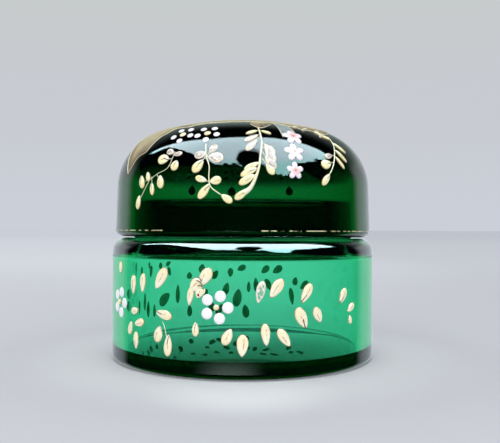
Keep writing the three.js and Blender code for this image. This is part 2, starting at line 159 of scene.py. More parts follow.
class Tree:
    """A node tree under construction, with short calls for the nodes that repeat."""

    def __init__(self, tree: bpy.types.NodeTree) -> None:
        """Keeps the tree that the nodes go to."""
        self.tree = tree

    def node(self, kind: str, inputs: Inputs | None = None, **settings: Value) -> bpy.types.Node:
        """Adds a node.

        Args:
            kind: The node's type.
            inputs: Values or output sockets, by input name or number.
            settings: Properties of the node, set before its inputs.

        Returns:
            The node.
        """
        made = self.tree.nodes.new(kind)
        for name, value in settings.items():
            setattr(made, name, value)
        self.fill(made.inputs, inputs or {})
        return made

    def out(self, kind: str, inputs: Inputs | None = None, **settings: Value) -> Socket:
        """Adds a node and gives its first output."""
        return self.node(kind, inputs, **settings).outputs[0]

    def feed(self, socket: Socket, value: Value) -> None:
        """Links an output to an input, or sets the input's own value.

        Args:
            socket: The input.
            value: An output, or a plain value.
        """
        if isinstance(value, bpy.types.NodeSocket):
            self.tree.links.new(value, socket)
        else:
            socket.default_value = value

    def fill(self, sockets: bpy.types.NodeInputs | dict[str, Socket], values: Inputs) -> None:
        """Feeds several inputs, by name or number."""
        for name, value in values.items():
            self.feed(sockets[name], value)

    def math(self, operation: str, *values: Value) -> Socket:
        """Gives the result of a math node on its values."""
        return self.out("ShaderNodeMath", dict(enumerate(values)), operation=operation)

    def times(self, *factors: Value) -> Socket:
        """Gives a product."""
        return reduce(partial(self.math, "MULTIPLY"), factors)

    def plus(self, first: Value, second: Value) -> Socket:
        """Gives a sum."""
        return self.math("ADD", first, second)

    def minus(self, first: Value, second: Value) -> Socket:
        """Gives a difference."""
        return self.math("SUBTRACT", first, second)

    def line(self, value: Value, slope: Value, start: Value) -> Socket:
        """Gives a value times a slope plus a start."""
        return self.math("MULTIPLY_ADD", value, slope, start)

    def gap(self, first: Value, second: Value) -> Socket:
        """Gives how far two values are apart."""
        return self.math("ABSOLUTE", self.minus(first, second))

    def vector(self, operation: str, *values: Value) -> Socket:
        """Gives the vector result of a vector math node on its values."""
        return self.out("ShaderNodeVectorMath", dict(enumerate(values)), operation=operation)

    def size(self, operation: str, *values: Value) -> Socket:
        """Gives the number that a vector math node makes of its values."""
        made = self.node("ShaderNodeVectorMath", dict(enumerate(values)), operation=operation)
        return made.outputs["Value"]

    def scaled(self, value: Value, scale: Value) -> Socket:
        """Gives a vector times a number."""
        return self.out("ShaderNodeVectorMath", {0: value, "Scale": scale}, operation="SCALE")

    def parts(self, value: Value) -> bpy.types.NodeOutputs:
        """Gives a vector's three parts."""
        return self.node("ShaderNodeSeparateXYZ", {0: value}).outputs

    def joined(self, *parts: Value) -> Socket:
        """Gives the vector of three parts."""
        return self.out("ShaderNodeCombineXYZ", dict(enumerate(parts)))

    def rise(self, value: Value, low: float, high: float) -> Socket:
        """Gives a smooth step, which falls where low is above high.

        Args:
            value: What the step depends on.
            low: Where the step is still 0.
            high: Where the step has come to 1.

        Returns:
            The step.
        """
        turned = low > high
        ends = {1: min(low, high), 2: max(low, high), 3: float(turned), 4: float(not turned)}
        return self.out("ShaderNodeMapRange", {0: value, **ends}, interpolation_type="SMOOTHSTEP")

    def mix(self, share: Value, first: Value, second: Value) -> Socket:
        """Gives a colour between two colours."""
        return self.node("ShaderNodeMix", {0: share, 6: first, 7: second}, data_type="RGBA").outputs[2]

    def noise(self, place: Value, scale: Value, detail: float, seed: Value = 0.0) -> bpy.types.NodeOutputs:
        """Gives noise from 0 to 1 that differs with the seed, as a number and as a colour."""
        inputs = {"Vector": place, "W": seed, "Scale": scale, "Detail": detail}
        return self.node("ShaderNodeTexNoise", inputs, noise_dimensions="4D").outputs

    def bump(self, strength: float, distance: float, height: Value, **inputs: Value) -> Socket:
        """Gives the normal of a bump."""
        given = {"Strength": strength, "Distance": distance, "Height": height, **inputs}
        return self.out("ShaderNodeBump", given)

    def attribute(self, name: str, output: str = "Fac") -> Socket:
        """Gives a mesh attribute in a material."""
        return self.node("ShaderNodeAttribute", attribute_name=name).outputs[output]

    def group(self, tree: bpy.types.NodeTree, inputs: Inputs) -> bpy.types.NodeOutputs:
        """Places a shader node group with its own values and gives its outputs."""
        return self.node("ShaderNodeGroup", inputs, node_tree=tree).outputs

    def place(self) -> Socket:
        """Gives the Object coordinates in a shader tree."""
        return self.node("ShaderNodeTexCoord").outputs["Object"]

    def own(self, kind: str) -> bpy.types.Node:
        """Gives the node of a type that the tree had from the start."""
        return next(n for n in self.tree.nodes if n.type == kind)

    def layered(self, colour: Value, layers: Sequence[tuple[Value, Value]]) -> Value:
        """Gives a colour with layers of other colours over it.

        Args:
            colour: The colour at the bottom.
            layers: How far each layer covers what is under it, and its colour, in order.

        Returns:
            The colour that shows.
        """
        for share, layer in layers:
            colour = self.mix(share, colour, layer)
        return colour


# A tree with its input and output sockets by name
Group = tuple[Tree, dict[str, Socket], dict[str, Socket]]


def new_group(name: str, kind: str, inputs: dict[str, str], outputs: dict[str, str]) -> Group:
    """Starts a node group with named sockets.

    Args:
        name: The group's name.
        kind: The tree's type.
        inputs: Socket types by input name.
        outputs: Socket types by output name.

    Returns:
        The tree, its input sockets by name, and its output sockets by name.
    """
    tree = bpy.data.node_groups.new(name, kind)
    for names, side in ((inputs, "INPUT"), (outputs, "OUTPUT")):
        for socket, socket_type in names.items():
            tree.interface.new_socket(name=socket, in_out=side, socket_type=socket_type)
    given = tree.nodes.new("NodeGroupInput").outputs
    wanted = tree.nodes.new("NodeGroupOutput").inputs
    return Tree(tree), {n: given[n] for n in inputs}, {n: wanted[n] for n in outputs}


def shader_group(name: str, inputs: Sequence[str], outputs: Sequence[str]) -> Group:
    """Starts a shader group of numbers, where only an input called Place is a vector."""
    kinds = {n: VECTOR if n == "Place" else FLOAT for n in inputs}
    return new_group(name, "ShaderNodeTree", kinds, dict.fromkeys(outputs, FLOAT))


def geometry_group(name: str, inputs: dict[str, str]) -> Group:
    """Starts a geometry tree that takes a mesh and a material besides its inputs and gives a mesh."""
    mesh = {"Geometry": GEOMETRY}
    return new_group(name, "GeometryNodeTree", mesh | inputs | {"Material": MATERIAL}, mesh)


class ShaderGroups:
    """Effects that several finishes share, each built once."""

    def __init__(self) -> None:
        """Builds every group."""
        self.strokes = self.brush_strokes()
        self.grain = self.fired_grain()
        self.film = self.worn_film()
        self.skin = self.glass_skin()

    @staticmethod
    def brush_strokes() -> bpy.types.NodeTree:
        """Builds the painted outline, vein, wash and stem mark of a dab.

        Returns:
            The group. Its Place is how far across, how far along and the reach from the middle of the dab.
        """
        tree, given, wanted = shader_group(
            "Brush strokes", ("Place", "Seed", "Edge width", "Vein width", "Wobble"),
            ("Edge", "Vein", "Wash", "Mark"),
        )
        across, length, reach = tree.parts(given["Place"])
        hand = tree.noise(given["Place"], 1.7, 3.0, given["Seed"])[0]
        shift = tree.times(tree.minus(hand, 0.5), given["Wobble"])
        inward = tree.plus(tree.minus(reach, tree.minus(1.0, given["Edge width"])), shift)
        chance = tree.minus(tree.math("FRACT", tree.times(given["Seed"], 0.37)), 0.5)
        side = tree.math("ABSOLUTE", tree.plus(across, tree.line(chance, 0.5, shift)))
        vein = tree.rise(tree.minus(given["Vein width"], side), -0.05, 0.06)
        uneven = tree.noise(given["Place"], 3.1, 2.0, tree.plus(given["Seed"], 7.0))[0]
        inside = tree.rise(tree.gap(length, tree.line(chance, -0.5, 0.05)), 0.55, 0.35)
        wash = tree.plus(tree.times(length, 0.35), tree.times(hand, 1.4))
        off = tree.gap(tree.plus(across, shift), tree.line(length, 0.45, -0.12))
        stem_end = tree.rise(tree.gap(length, 0.55), 0.5, 0.35)
        tree.fill(wanted, {
            "Edge": tree.rise(inward, -0.06, 0.08),
            "Vein": tree.times(vein, inside, tree.rise(uneven, 0.36, 0.5)),
            "Wash": tree.rise(wash, 0.25, 1.15),
            "Mark": tree.times(tree.rise(off, 0.15, 0.07), stem_end),
        })
        return tree.tree

    @staticmethod
    def fired_grain() -> bpy.types.NodeTree:
        """Builds the fine lumps and pits of fired enamel.

        Returns:
            The group.
        """
        tree, given, wanted = shader_group("Fired grain", ("Scale", "Seed"), ("Shade", "Height", "Roughness"))
        place = tree.place()
        coarse = tree.noise(place, given["Scale"], 4.0, given["Seed"])[0]
        fine = tree.noise(place, tree.times(given["Scale"], 5.0), 2.0, given["Seed"])[0]
        height, roughness = tree.line(fine, 0.25, coarse), tree.line(fine, 0.24, 0.14)
        tree.fill(wanted, {"Shade": coarse, "Height": height, "Roughness": roughness})
        return tree.tree

    @staticmethod
    def worn_film() -> bpy.types.NodeTree:
        """Builds the wear of a thin film of gilding after years of handling.

        Returns:
            The group.
        """
        tree, given, wanted = shader_group("Worn film", ("Scale", "Wear", "Seed"), ("Left", "Rubbed"))
        place = tree.place()
        broad = tree.noise(place, given["Scale"], 3.0, given["Seed"])[0]
        fine = tree.noise(place, tree.times(given["Scale"], 9.0), 2.0, given["Seed"])[0]
        over = tree.minus(tree.line(broad, 0.75, tree.times(fine, 0.25)), given["Wear"])
        tree.fill(wanted, {"Left": tree.rise(over, -0.02, 0.02), "Rubbed": tree.rise(over, 0.16, 0.0)})
        return tree.tree

    @staticmethod
    def glass_skin() -> bpy.types.NodeTree:
        """Builds the faint smears and the slow waves of hand-finished glass.

        Returns:
            The group.
        """
        tree, given, wanted = shader_group("Glass skin", ("Wave scale", "Smear scale"), ("Height", "Smear"))
        place = tree.place()
        wave = tree.noise(place, given["Wave scale"], 1.0)[0]
        smear = tree.noise(place, given["Smear scale"], 4.0, 3.0)[0]
        tree.fill(wanted, {"Height": wave, "Smear": tree.rise(smear, 0.5, 0.8)})
        return tree.tree


def new_material(name: str, values: Inputs) -> tuple[bpy.types.Material, Tree, bpy.types.NodeInputs]:
    """Starts a material.

    Args:
        name: The material's name.
        values: Plain values of its Principled shader.

    Returns:
        The material, its tree, and the inputs of its Principled shader.
    """
    material = bpy.data.materials.new(name)
    material.use_nodes = True
    tree = Tree(material.node_tree)
    shader = tree.own("BSDF_PRINCIPLED").inputs
    tree.fill(shader, values)
    return material, tree, shader


@dataclass(frozen=True)
class GlassZone:
    """A band of the glass, by height, that looks darker or paler than the rest: its colour is painted shade.

    The zone is full between low and high and fades out over the blend on both sides. Where it has streaks,
    they run up and down, and the share says how far they lighten the painted shade. A scuffed zone is
    rougher, and a polished one mirrors more. Only glass within a radius belongs to the zone, and the fade is
    how soft that limit is.
    """

    low: float
    high: float
    blend: float
    painted_shade_tint: Colour
    streaks: float = 0.0
    scuff: float = 0.0
    polish: float = 0.0
    within: float = 1.0
    fade: float = 0.1 * MM

    def share(self, tree: Tree, height: Value, radius: Value) -> Socket:
        """Gives how much of the zone there is at a place.

        Args:
            tree: The material's tree.
            height: The height of the place.
            radius: How far the place is from the box's axis.

        Returns:
            The share, from 0 to 1.
        """
        start = tree.rise(height, self.low - self.blend, self.low)
        share = tree.times(start, tree.rise(height, self.high + self.blend, self.high))
        if self.within < 1.0:
            share = tree.times(share, tree.rise(radius, self.within, self.within - self.fade))
        return share


@dataclass(frozen=True)
class GlassFinish:
    """Clear coloured glass: it darkens with depth, and its skin has faint waves and smears.

    Its zones paint shade into bands of the glass. Where there is a kick, the floor at the kick's level
    mirrors as if it rose that much in the middle.
    """

    name: str
    through: Colour
    density: float
    zones: tuple[GlassZone, ...]
    kick: float = 0.0
    kick_radius: float = 39.0 * MM
    kick_level: float = 4.5 * MM
    ior: float = 1.5
    wave_scale: float = 60.0
    wave_depth: float = 0.02 * MM
    smear_scale: float = 140.0
    smear_roughness: float = 0.035
    streak_scale: float = 330.0
    streak_stretch: Triple = (1.0, 1.0, 0.04)
    polish_ior: float = 1.9
    polish_roughness: float = 0.01

    def material(self, groups: ShaderGroups) -> bpy.types.Material:
        """Builds the glass.

        Args:
            groups: The shared effects.

        Returns:
            The material.
        """
        material, tree, shader = new_material(self.name, {"Transmission Weight": 1.0, "IOR": self.ior})
        skin = tree.group(groups.skin, {"Wave scale": self.wave_scale, "Smear scale": self.smear_scale})
        coordinates = tree.node("ShaderNodeTexCoord").outputs
        place = coordinates["Object"]
        height = tree.parts(place)[2]
        radius = tree.size("LENGTH", tree.vector("MULTIPLY", place, (1.0, 1.0, 0.0)))
        colour: Value = CLEAR
        rough = tree.times(skin["Smear"], self.smear_roughness)
        for zone in self.zones:
            share = zone.share(tree, height, radius)
            if zone.polish:
                tree.fill(shader, {
                    "Coat Weight": tree.times(share, zone.polish), "Coat IOR": self.polish_ior,
                    "Coat Roughness": self.polish_roughness,
                })
            if zone.scuff:
                rough = tree.line(share, zone.scuff, rough)
            if zone.streaks:
                upright = tree.vector("MULTIPLY", place, self.streak_stretch)
                streak = tree.rise(tree.noise(upright, self.streak_scale, 3.0, 4.0)[0], 0.44, 0.62)
                share = tree.times(share, tree.line(streak, -zone.streaks, 1.0))
            # Each zone paints its shade over the clear glass
            colour = tree.mix(share, colour, zone.painted_shade_tint)
        normal = tree.bump(0.25, self.wave_depth, skin["Height"])
        if self.kick:
            on_floor = tree.rise(tree.gap(height, self.kick_level), 0.3 * MM, 0.1 * MM)
            facing_up = tree.rise(tree.parts(coordinates["Normal"])[2], 0.8, 0.95)
            fall = tree.math("POWER", tree.math("DIVIDE", radius, self.kick_radius), 2.0)
            risen = tree.times(on_floor, facing_up, -self.kick, fall)
            normal = tree.bump(1.0, 1.0, risen, Normal=normal)
        tree.fill(shader, {"Base Color": colour, "Roughness": rough, "Normal": normal})
        depth = tree.out("ShaderNodeVolumeAbsorption", {"Color": self.through, "Density": self.density})
        tree.feed(tree.own("OUTPUT_MATERIAL").inputs["Volume"], depth)
        return material


@dataclass(frozen=True)
class EnamelFinish:
    """Opaque fired enamel with painted strokes; a blossom also has a heart and an eye in it."""

    name: str
    body: Colour
    warm: Colour
    stroke: Colour
    edge_width: float = 0.16
    vein_width: float = 0.1
    edge_share: float = 0.8
    vein_share: float = 0.8
    coat: float = 0.3
    coat_roughness: float = 0.12
    wobble: float = 0.3
    grain_scale: float = 900.0
    grain_depth: float = 0.06 * MM
    heart: Colour | None = None
    eye: Colour | None = None
    mark: Colour = (0.09, 0.04, 0.025, 1.0)
    rim: Colour = (0.94, 0.84, 0.82, 1.0)
    bare: Colour = (0.5, 0.4, 0.36, 1.0)

    def material(self, groups: ShaderGroups) -> bpy.types.Material:
        """Builds the enamel.

        Args:
            groups: The shared effects.

        Returns:
            The material.
        """
        coat = {"Coat Weight": self.coat, "Coat Roughness": self.coat_roughness}
        material, tree, shader = new_material(self.name, coat)
        place = tree.attribute("place", "Vector")
        reach = tree.parts(place)[2]
        wear_and_sheen = tree.attribute("wear_and_sheen")
        strokes = tree.group(groups.strokes, {
            "Place": place, "Seed": tree.attribute("seed"), "Wobble": self.wobble,
            "Edge width": self.edge_width, "Vein width": self.vein_width,
        })
        grain = tree.group(groups.grain, {"Scale": self.grain_scale, "Seed": 1.0})
        inner = tree.rise(reach, 0.78, 0.62)
        layers = [(tree.times(tree.rise(grain["Shade"], 0.55, 0.35), 0.3), self.warm)]
        if self.heart:
            layers += [(tree.rise(reach, 0.7, 0.25), self.heart), (tree.rise(reach, 0.2, 0.1), self.eye)]
        layers += [
            (tree.times(strokes["Vein"], self.vein_share), self.stroke),
            (tree.times(strokes["Edge"], self.edge_share), self.stroke),
            (tree.times(strokes["Mark"], tree.attribute("marked")), self.mark),
            # The pale pink wash over such a dab: thin worn enamel on the base's open leaf, and painted
            # reflection on the lid's leaves that lie in the soft box's reflection
            (tree.times(wear_and_sheen, 0.6), self.rim),
            (tree.times(tree.rise(grain["Shade"], 0.62, 0.5), inner, wear_and_sheen), self.bare),
        ]
        washed = tree.mix(strokes["Wash"], self.warm, self.body)
        height = tree.minus(grain["Height"], tree.times(strokes["Vein"], 0.8))
        tree.fill(shader, {
            "Base Color": tree.layered(washed, layers), "Roughness": grain["Roughness"],
            "Normal": tree.bump(0.35, self.grain_depth, height),
        })
        return material


@dataclass(frozen=True)
class GildingFinish:
    """A fired film of gold, bright or bronzed, that wears through.

    Near its low edge it may be duller, for the length of its fade: painted shade, which leaves the film
    higher up as a painted sheen.
    """

    name: str
    bright: Colour
    dull: Colour
    wear: float
    roughness: float = 0.32
    metallic: float = 0.75
    specular: float = 0.25
    scale: float = 260.0
    fade: float = 0.0
    grain_scale: float = 700.0
    grain_depth: float = 0.03 * MM

    def material(self, groups: ShaderGroups) -> bpy.types.Material:
        """Builds the film.

        Args:
            groups: The shared effects.

        Returns:
            The material.
        """
        metal = {"Metallic": self.metallic, "Specular IOR Level": self.specular}
        material, tree, shader = new_material(self.name, metal)
        film = tree.group(groups.film, {"Scale": self.scale, "Wear": self.wear, "Seed": 2.0})
        grain = tree.group(groups.grain, {"Scale": self.grain_scale, "Seed": 5.0})
        layers = [
            (tree.times(grain["Shade"], 0.5), self.dull),
            (tree.times(film["Rubbed"], 0.5), self.dull),
        ]
        # Painted shade along the film's low edge
        if self.fade:
            painted_shade_near_edge = tree.rise(tree.attribute("from_edge"), self.fade, 0.0)
            layers.append((tree.times(painted_shade_near_edge, 0.9), self.dull))
        tree.fill(shader, {
            "Base Color": tree.layered(self.bright, layers), "Alpha": film["Left"],
            "Roughness": tree.line(grain["Shade"], 0.2, self.roughness - 0.1),
            "Normal": tree.bump(0.3, self.grain_depth, grain["Height"]),
        })
        return material


class GeometryTrees:
    """The rules that turn sections, dabs and trails into meshes."""

    def __init__(self) -> None:
        """Builds every tree."""
        self.turned = self.turned_section()
        self.dabs = self.dabs_on_glass()
        self.trails = self.trails_on_glass()
        self.film = self.film_on_glass()

    @staticmethod
    def finish(tree: Tree, geometry: Value, given: dict, wanted: dict) -> bpy.types.NodeTree:
        """Ends a tree: everything real, smooth and dressed.

        Args:
            tree: The tree.
            geometry: What the tree has made.
            given: The tree's input sockets by name.
            wanted: Its output sockets by name.

        Returns:
            The finished node tree.
        """
        real = tree.out("GeometryNodeRealizeInstances", {"Geometry": geometry})
        smooth = tree.out("GeometryNodeSetShadeSmooth", {"Geometry": real})
        dressed = tree.out("GeometryNodeSetMaterial", {"Geometry": smooth, "Material": given["Material"]})
        tree.feed(wanted["Geometry"], dressed)
        return tree.tree

    @staticmethod
    def named(tree: Tree, name: str, data_type: str = "FLOAT") -> Socket:
        """Gives a mesh attribute in a geometry tree."""
        return tree.out("GeometryNodeInputNamedAttribute", {"Name": name}, data_type=data_type)

    @staticmethod
    def over_glass(tree: Tree, given: dict, lift: Value, start: Socket | None = None) -> Socket:
        """Lays a point on the glass.

        Args:
            tree: The tree.
            given: The tree's input sockets by name.
            lift: How far off the glass the point is laid.
            start: The place that the point starts from, if it isn't its own position.

        Returns:
            The place over the nearest point of the glass.
        """
        glass = tree.node("GeometryNodeObjectInfo", {"Object": given["Glass"]}).outputs["Geometry"]
        sampled = {"Mesh": glass} if start is None else {"Mesh": glass, "Sample Position": start}
        foot, facing = (
            tree.out("GeometryNodeSampleNearestSurface", {
                **sampled, "Value": tree.out(kind),
            }, data_type="FLOAT_VECTOR")
            for kind in ("GeometryNodeInputPosition", "GeometryNodeInputNormal")
        )
        return tree.vector("ADD", foot, tree.scaled(facing, lift))

    def turned_section(self) -> bpy.types.NodeTree:
        """Builds the tree that turns a section, given as points in order, round the axis and closes it.

        Returns:
            The tree.
        """
        tree, given, wanted = geometry_group("Turned section", {"Steps": INTEGER, "Weld": FLOAT})
        section, steps = given["Geometry"], given["Steps"]
        size = tree.node("GeometryNodeAttributeDomainSize", {"Geometry": section}, component="MESH")
        points = size.outputs["Point Count"]
        grid = tree.out("GeometryNodeMeshGrid", {"Vertices X": tree.plus(steps, 1.0), "Vertices Y": points})
        index = tree.out("GeometryNodeInputIndex")
        step = tree.math("FLOOR", tree.math("DIVIDE", tree.plus(index, 0.5), points))
        sample = tree.out("GeometryNodeSampleIndex", {
            "Geometry": section, "Value": tree.out("GeometryNodeInputPosition"),
            "Index": tree.math("MODULO", index, points),
        }, data_type="FLOAT_VECTOR", domain="POINT")
        radius, _, height = tree.parts(sample)
        turn = tree.times(tree.math("DIVIDE", step, steps), FULL_TURN)
        right = tree.times(radius, tree.math("SINE", turn))
        back = tree.times(radius, tree.math("COSINE", turn), -1.0)
        there = tree.joined(right, back, height)
        moved = tree.out("GeometryNodeSetPosition", {"Geometry": grid, "Position": there})
        closed = tree.out("GeometryNodeMergeByDistance", {"Geometry": moved, "Distance": given["Weld"]})
        return self.finish(tree, closed, given, wanted)

    def dabs_on_glass(self) -> bpy.types.NodeTree:
        """Builds the tree that sets dabs on points, makes them uneven and bends them to the glass.

        Returns:
            The tree.
        """
        tree, given, wanted = geometry_group("Dabs on glass", {
            "Dab": OBJECT, "Glass": OBJECT, "Relief": FLOAT, "Sink": FLOAT, "Unevenness": FLOAT,
            "Seed": FLOAT,
        })
        dab = tree.node("GeometryNodeObjectInfo", {"Object": given["Dab"]}).outputs["Geometry"]
        spin = tree.out("FunctionNodeEulerToRotation", {0: self.named(tree, "spin", "FLOAT_VECTOR")})
        laid = tree.out("GeometryNodeInstanceOnPoints", {
            "Points": given["Geometry"], "Instance": dab, "Rotation": spin,
            "Scale": self.named(tree, "size", "FLOAT_VECTOR"),
        })
        real = tree.out("GeometryNodeRealizeInstances", {"Geometry": laid})
        position = tree.out("GeometryNodeInputPosition")
        hand = tree.noise(position, 420.0, 1.0, tree.plus(self.named(tree, "seed"), given["Seed"]))
        drift = tree.vector("SUBTRACT", hand["Color"], (0.5, 0.5, 0.5))
        wandered = tree.vector("ADD", position, tree.scaled(drift, given["Unevenness"]))
        swell = tree.line(hand[0], 0.5, 0.75)
        lift = tree.minus(tree.times(given["Relief"], swell, self.named(tree, "lift")), given["Sink"])
        there = self.over_glass(tree, given, lift, wandered)
        bent = tree.out("GeometryNodeSetPosition", {"Geometry": real, "Position": there})
        return self.finish(tree, bent, given, wanted)

    def trails_on_glass(self) -> bpy.types.NodeTree:
        """Builds the tree that draws round trails along lines, as thick as their girth attribute says.

        Returns:
            The tree.
        """
        tree, given, wanted = geometry_group("Trails on glass", {
            "Glass": OBJECT, "Spacing": FLOAT, "Lift": FLOAT, "Sides": INTEGER,
        })
        line = tree.out("GeometryNodeMeshToCurve", {"Mesh": given["Geometry"]})
        smooth = tree.out("GeometryNodeCurveSplineType", {"Curve": line}, spline_type="CATMULL_ROM")
        fine = tree.out("GeometryNodeResampleCurve", {
            "Curve": smooth, "Length": given["Spacing"],
        }, mode="LENGTH")
        girth = self.named(tree, "girth")
        there = self.over_glass(tree, given, tree.times(girth, given["Lift"]))
        laid = tree.out("GeometryNodeSetPosition", {"Geometry": fine, "Position": there})
        ring = tree.out("GeometryNodeCurvePrimitiveCircle", {"Resolution": given["Sides"], "Radius": 1.0})
        swept = tree.out("GeometryNodeCurveToMesh", {
            "Curve": laid, "Profile Curve": ring, "Scale": girth, "Fill Caps": True,
        })
        return self.finish(tree, swept, given, wanted)

    def film_on_glass(self) -> bpy.types.NodeTree:
        """Builds the tree that makes a thin closed film over a patch that lies on the glass.

        Returns:
            The tree.
        """
        tree, given, wanted = geometry_group("Film on glass", {
            "Glass": OBJECT, "Thickness": FLOAT, "Sink": FLOAT, "Weld": FLOAT,
        })
        there = self.over_glass(tree, given, tree.times(given["Sink"], -1.0))
        welded = tree.out("GeometryNodeMergeByDistance", {
            "Geometry": given["Geometry"], "Distance": given["Weld"],
        })
        laid = tree.out("GeometryNodeSetPosition", {"Geometry": welded, "Position": there})
        raised = tree.out("GeometryNodeExtrudeMesh", {
            "Mesh": laid, "Offset Scale": given["Thickness"], "Individual": False,
        })
        both = tree.node("GeometryNodeJoinGeometry", {0: raised})
        tree.feed(both.inputs[0], tree.out("GeometryNodeFlipFaces", {"Mesh": laid}))
        shell = tree.out("GeometryNodeMergeByDistance", {
            "Geometry": both.outputs[0], "Distance": given["Weld"],
        })
        return self.finish(tree, shell, given, wanted)


def plain_mesh(name: str, verts: Sequence, edges: Sequence = (), faces: Sequence = ()) -> bpy.types.Mesh:
    """Makes a mesh.

    Args:
        name: The mesh's name.
        verts: Its points.
        edges: Its edges, as pairs of points.
        faces: Its faces, as rings of points.

    Returns:
        The mesh.
    """
    mesh = bpy.data.meshes.new(name)
    mesh.from_pydata(verts, edges, faces)
    return mesh


def give(mesh: bpy.types.Mesh, name: str, values: Sequence) -> None:
    """Stores an attribute of a mesh's points.

    Args:
        mesh: The mesh.
        name: The attribute's name.
        values: A number or a vector for each point.
    """
    if isinstance(values[0], tuple):
        attribute = mesh.attributes.new(name, "FLOAT_VECTOR", "POINT")
        attribute.data.foreach_set("vector", [x for value in values for x in value])
    else:
        attribute = mesh.attributes.new(name, "FLOAT", "POINT")
        attribute.data.foreach_set("value", list(values))


def linked(name: str, data: bpy.types.ID) -> bpy.types.Object:
    """Puts an object in the scene.

    Args:
        name: The object's name.
        data: Its mesh, lamp or camera.

    Returns:
        The object.
    """
    made = bpy.data.objects.new(name, data)
    bpy.context.scene.collection.objects.link(made)
    return made


def grown(name: str, source: bpy.types.Mesh, tree: bpy.types.NodeTree, inputs: Inputs) -> bpy.types.Object:
    """Runs a geometry tree on a mesh and keeps the result as a plain mesh object.

    Args:
        name: The piece's name.
        source: The mesh that the tree starts from.
        tree: The geometry tree.
        inputs: Values by the name of the tree's input.

    Returns:
        The piece, at the origin and without modifiers.
    """
    seedling = linked(name + "_source", source)
    modifier = seedling.modifiers.new("shape", "NODES")
    modifier.node_group = tree
    sockets = {s.name: s.identifier for s in tree.interface.items_tree if s.in_out == "INPUT"}
    for key, value in inputs.items():
        modifier[sockets[key]] = value
    depsgraph = bpy.context.evaluated_depsgraph_get()
    mesh = bpy.data.meshes.new_from_object(
        seedling.evaluated_get(depsgraph), preserve_all_data_layers=True, depsgraph=depsgraph,
    )
    mesh.name = name
    bpy.data.objects.remove(seedling)
    return linked(name, mesh)


def settle(piece: bpy.types.Object, body: Body, nodes: Sequence[str]) -> None:
    """Lets a piece ride with its glass, hides the nodes that it stands for and logs how many there are.

    Args:
        piece: The finished piece.
        body: The glass that it belongs to.
        nodes: The CAD nodes that it stands for.
    """
    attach(piece, body.value)
    if nodes:
        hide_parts(*nodes)
    LOG.info("%s: %d faces, stands for %d nodes", piece.name, len(piece.data.polygons), len(nodes))


def nodes_named(start: str) -> list[str]:
    """Gives the CAD nodes whose names start alike."""
    return sorted(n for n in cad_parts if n.startswith(start))


def arc(centre: Point, radius_x: float, radius_y: float, start: float, end: float, steps: int) -> list[Point]:
    """Points on an arc or a quarter ellipse, first and last included, with its angles in degrees."""
    angles = [math.radians(start + (end - start) * i / steps) for i in range(steps + 1)]
    return [(centre[0] + radius_x * math.cos(a), centre[1] + radius_y * math.sin(a)) for a in angles]


def run_out(points: Sequence[Point]) -> list[Point]:
    """Cuts the straight runs of a section so that shading stays true along them.

    Args:
        points: The section's points, in order.

    Returns:
        The points with the extra ones between them.
    """
    full = [points[0]]
    for (x0, y0), (x1, y1) in zip(points, points[1:]):
        length = math.hypot(x1 - x0, y1 - y0)
        if length > LONGEST_RUN:
            count = max(2, math.ceil(length / (4 * LONGEST_RUN)))
            shares = [RUN_END / length, *[i / count for i in range(1, count)], 1 - RUN_END / length]
            full += [(x0 + (x1 - x0) * s, y0 + (y1 - y0) * s) for s in shares]
        full.append((x1, y1))
    return full


@dataclass(frozen=True)
class Spot:
    """A place on the outside of a glass."""

    turn: float
    distance: float

    def toward(self, other: "Spot", share: float) -> "Spot":
        """Gives the spot at a share of the way to another."""
        ends = ((self.turn, other.turn), (self.distance, other.distance))
        return Spot(*(start + (end - start) * share for start, end in ends))


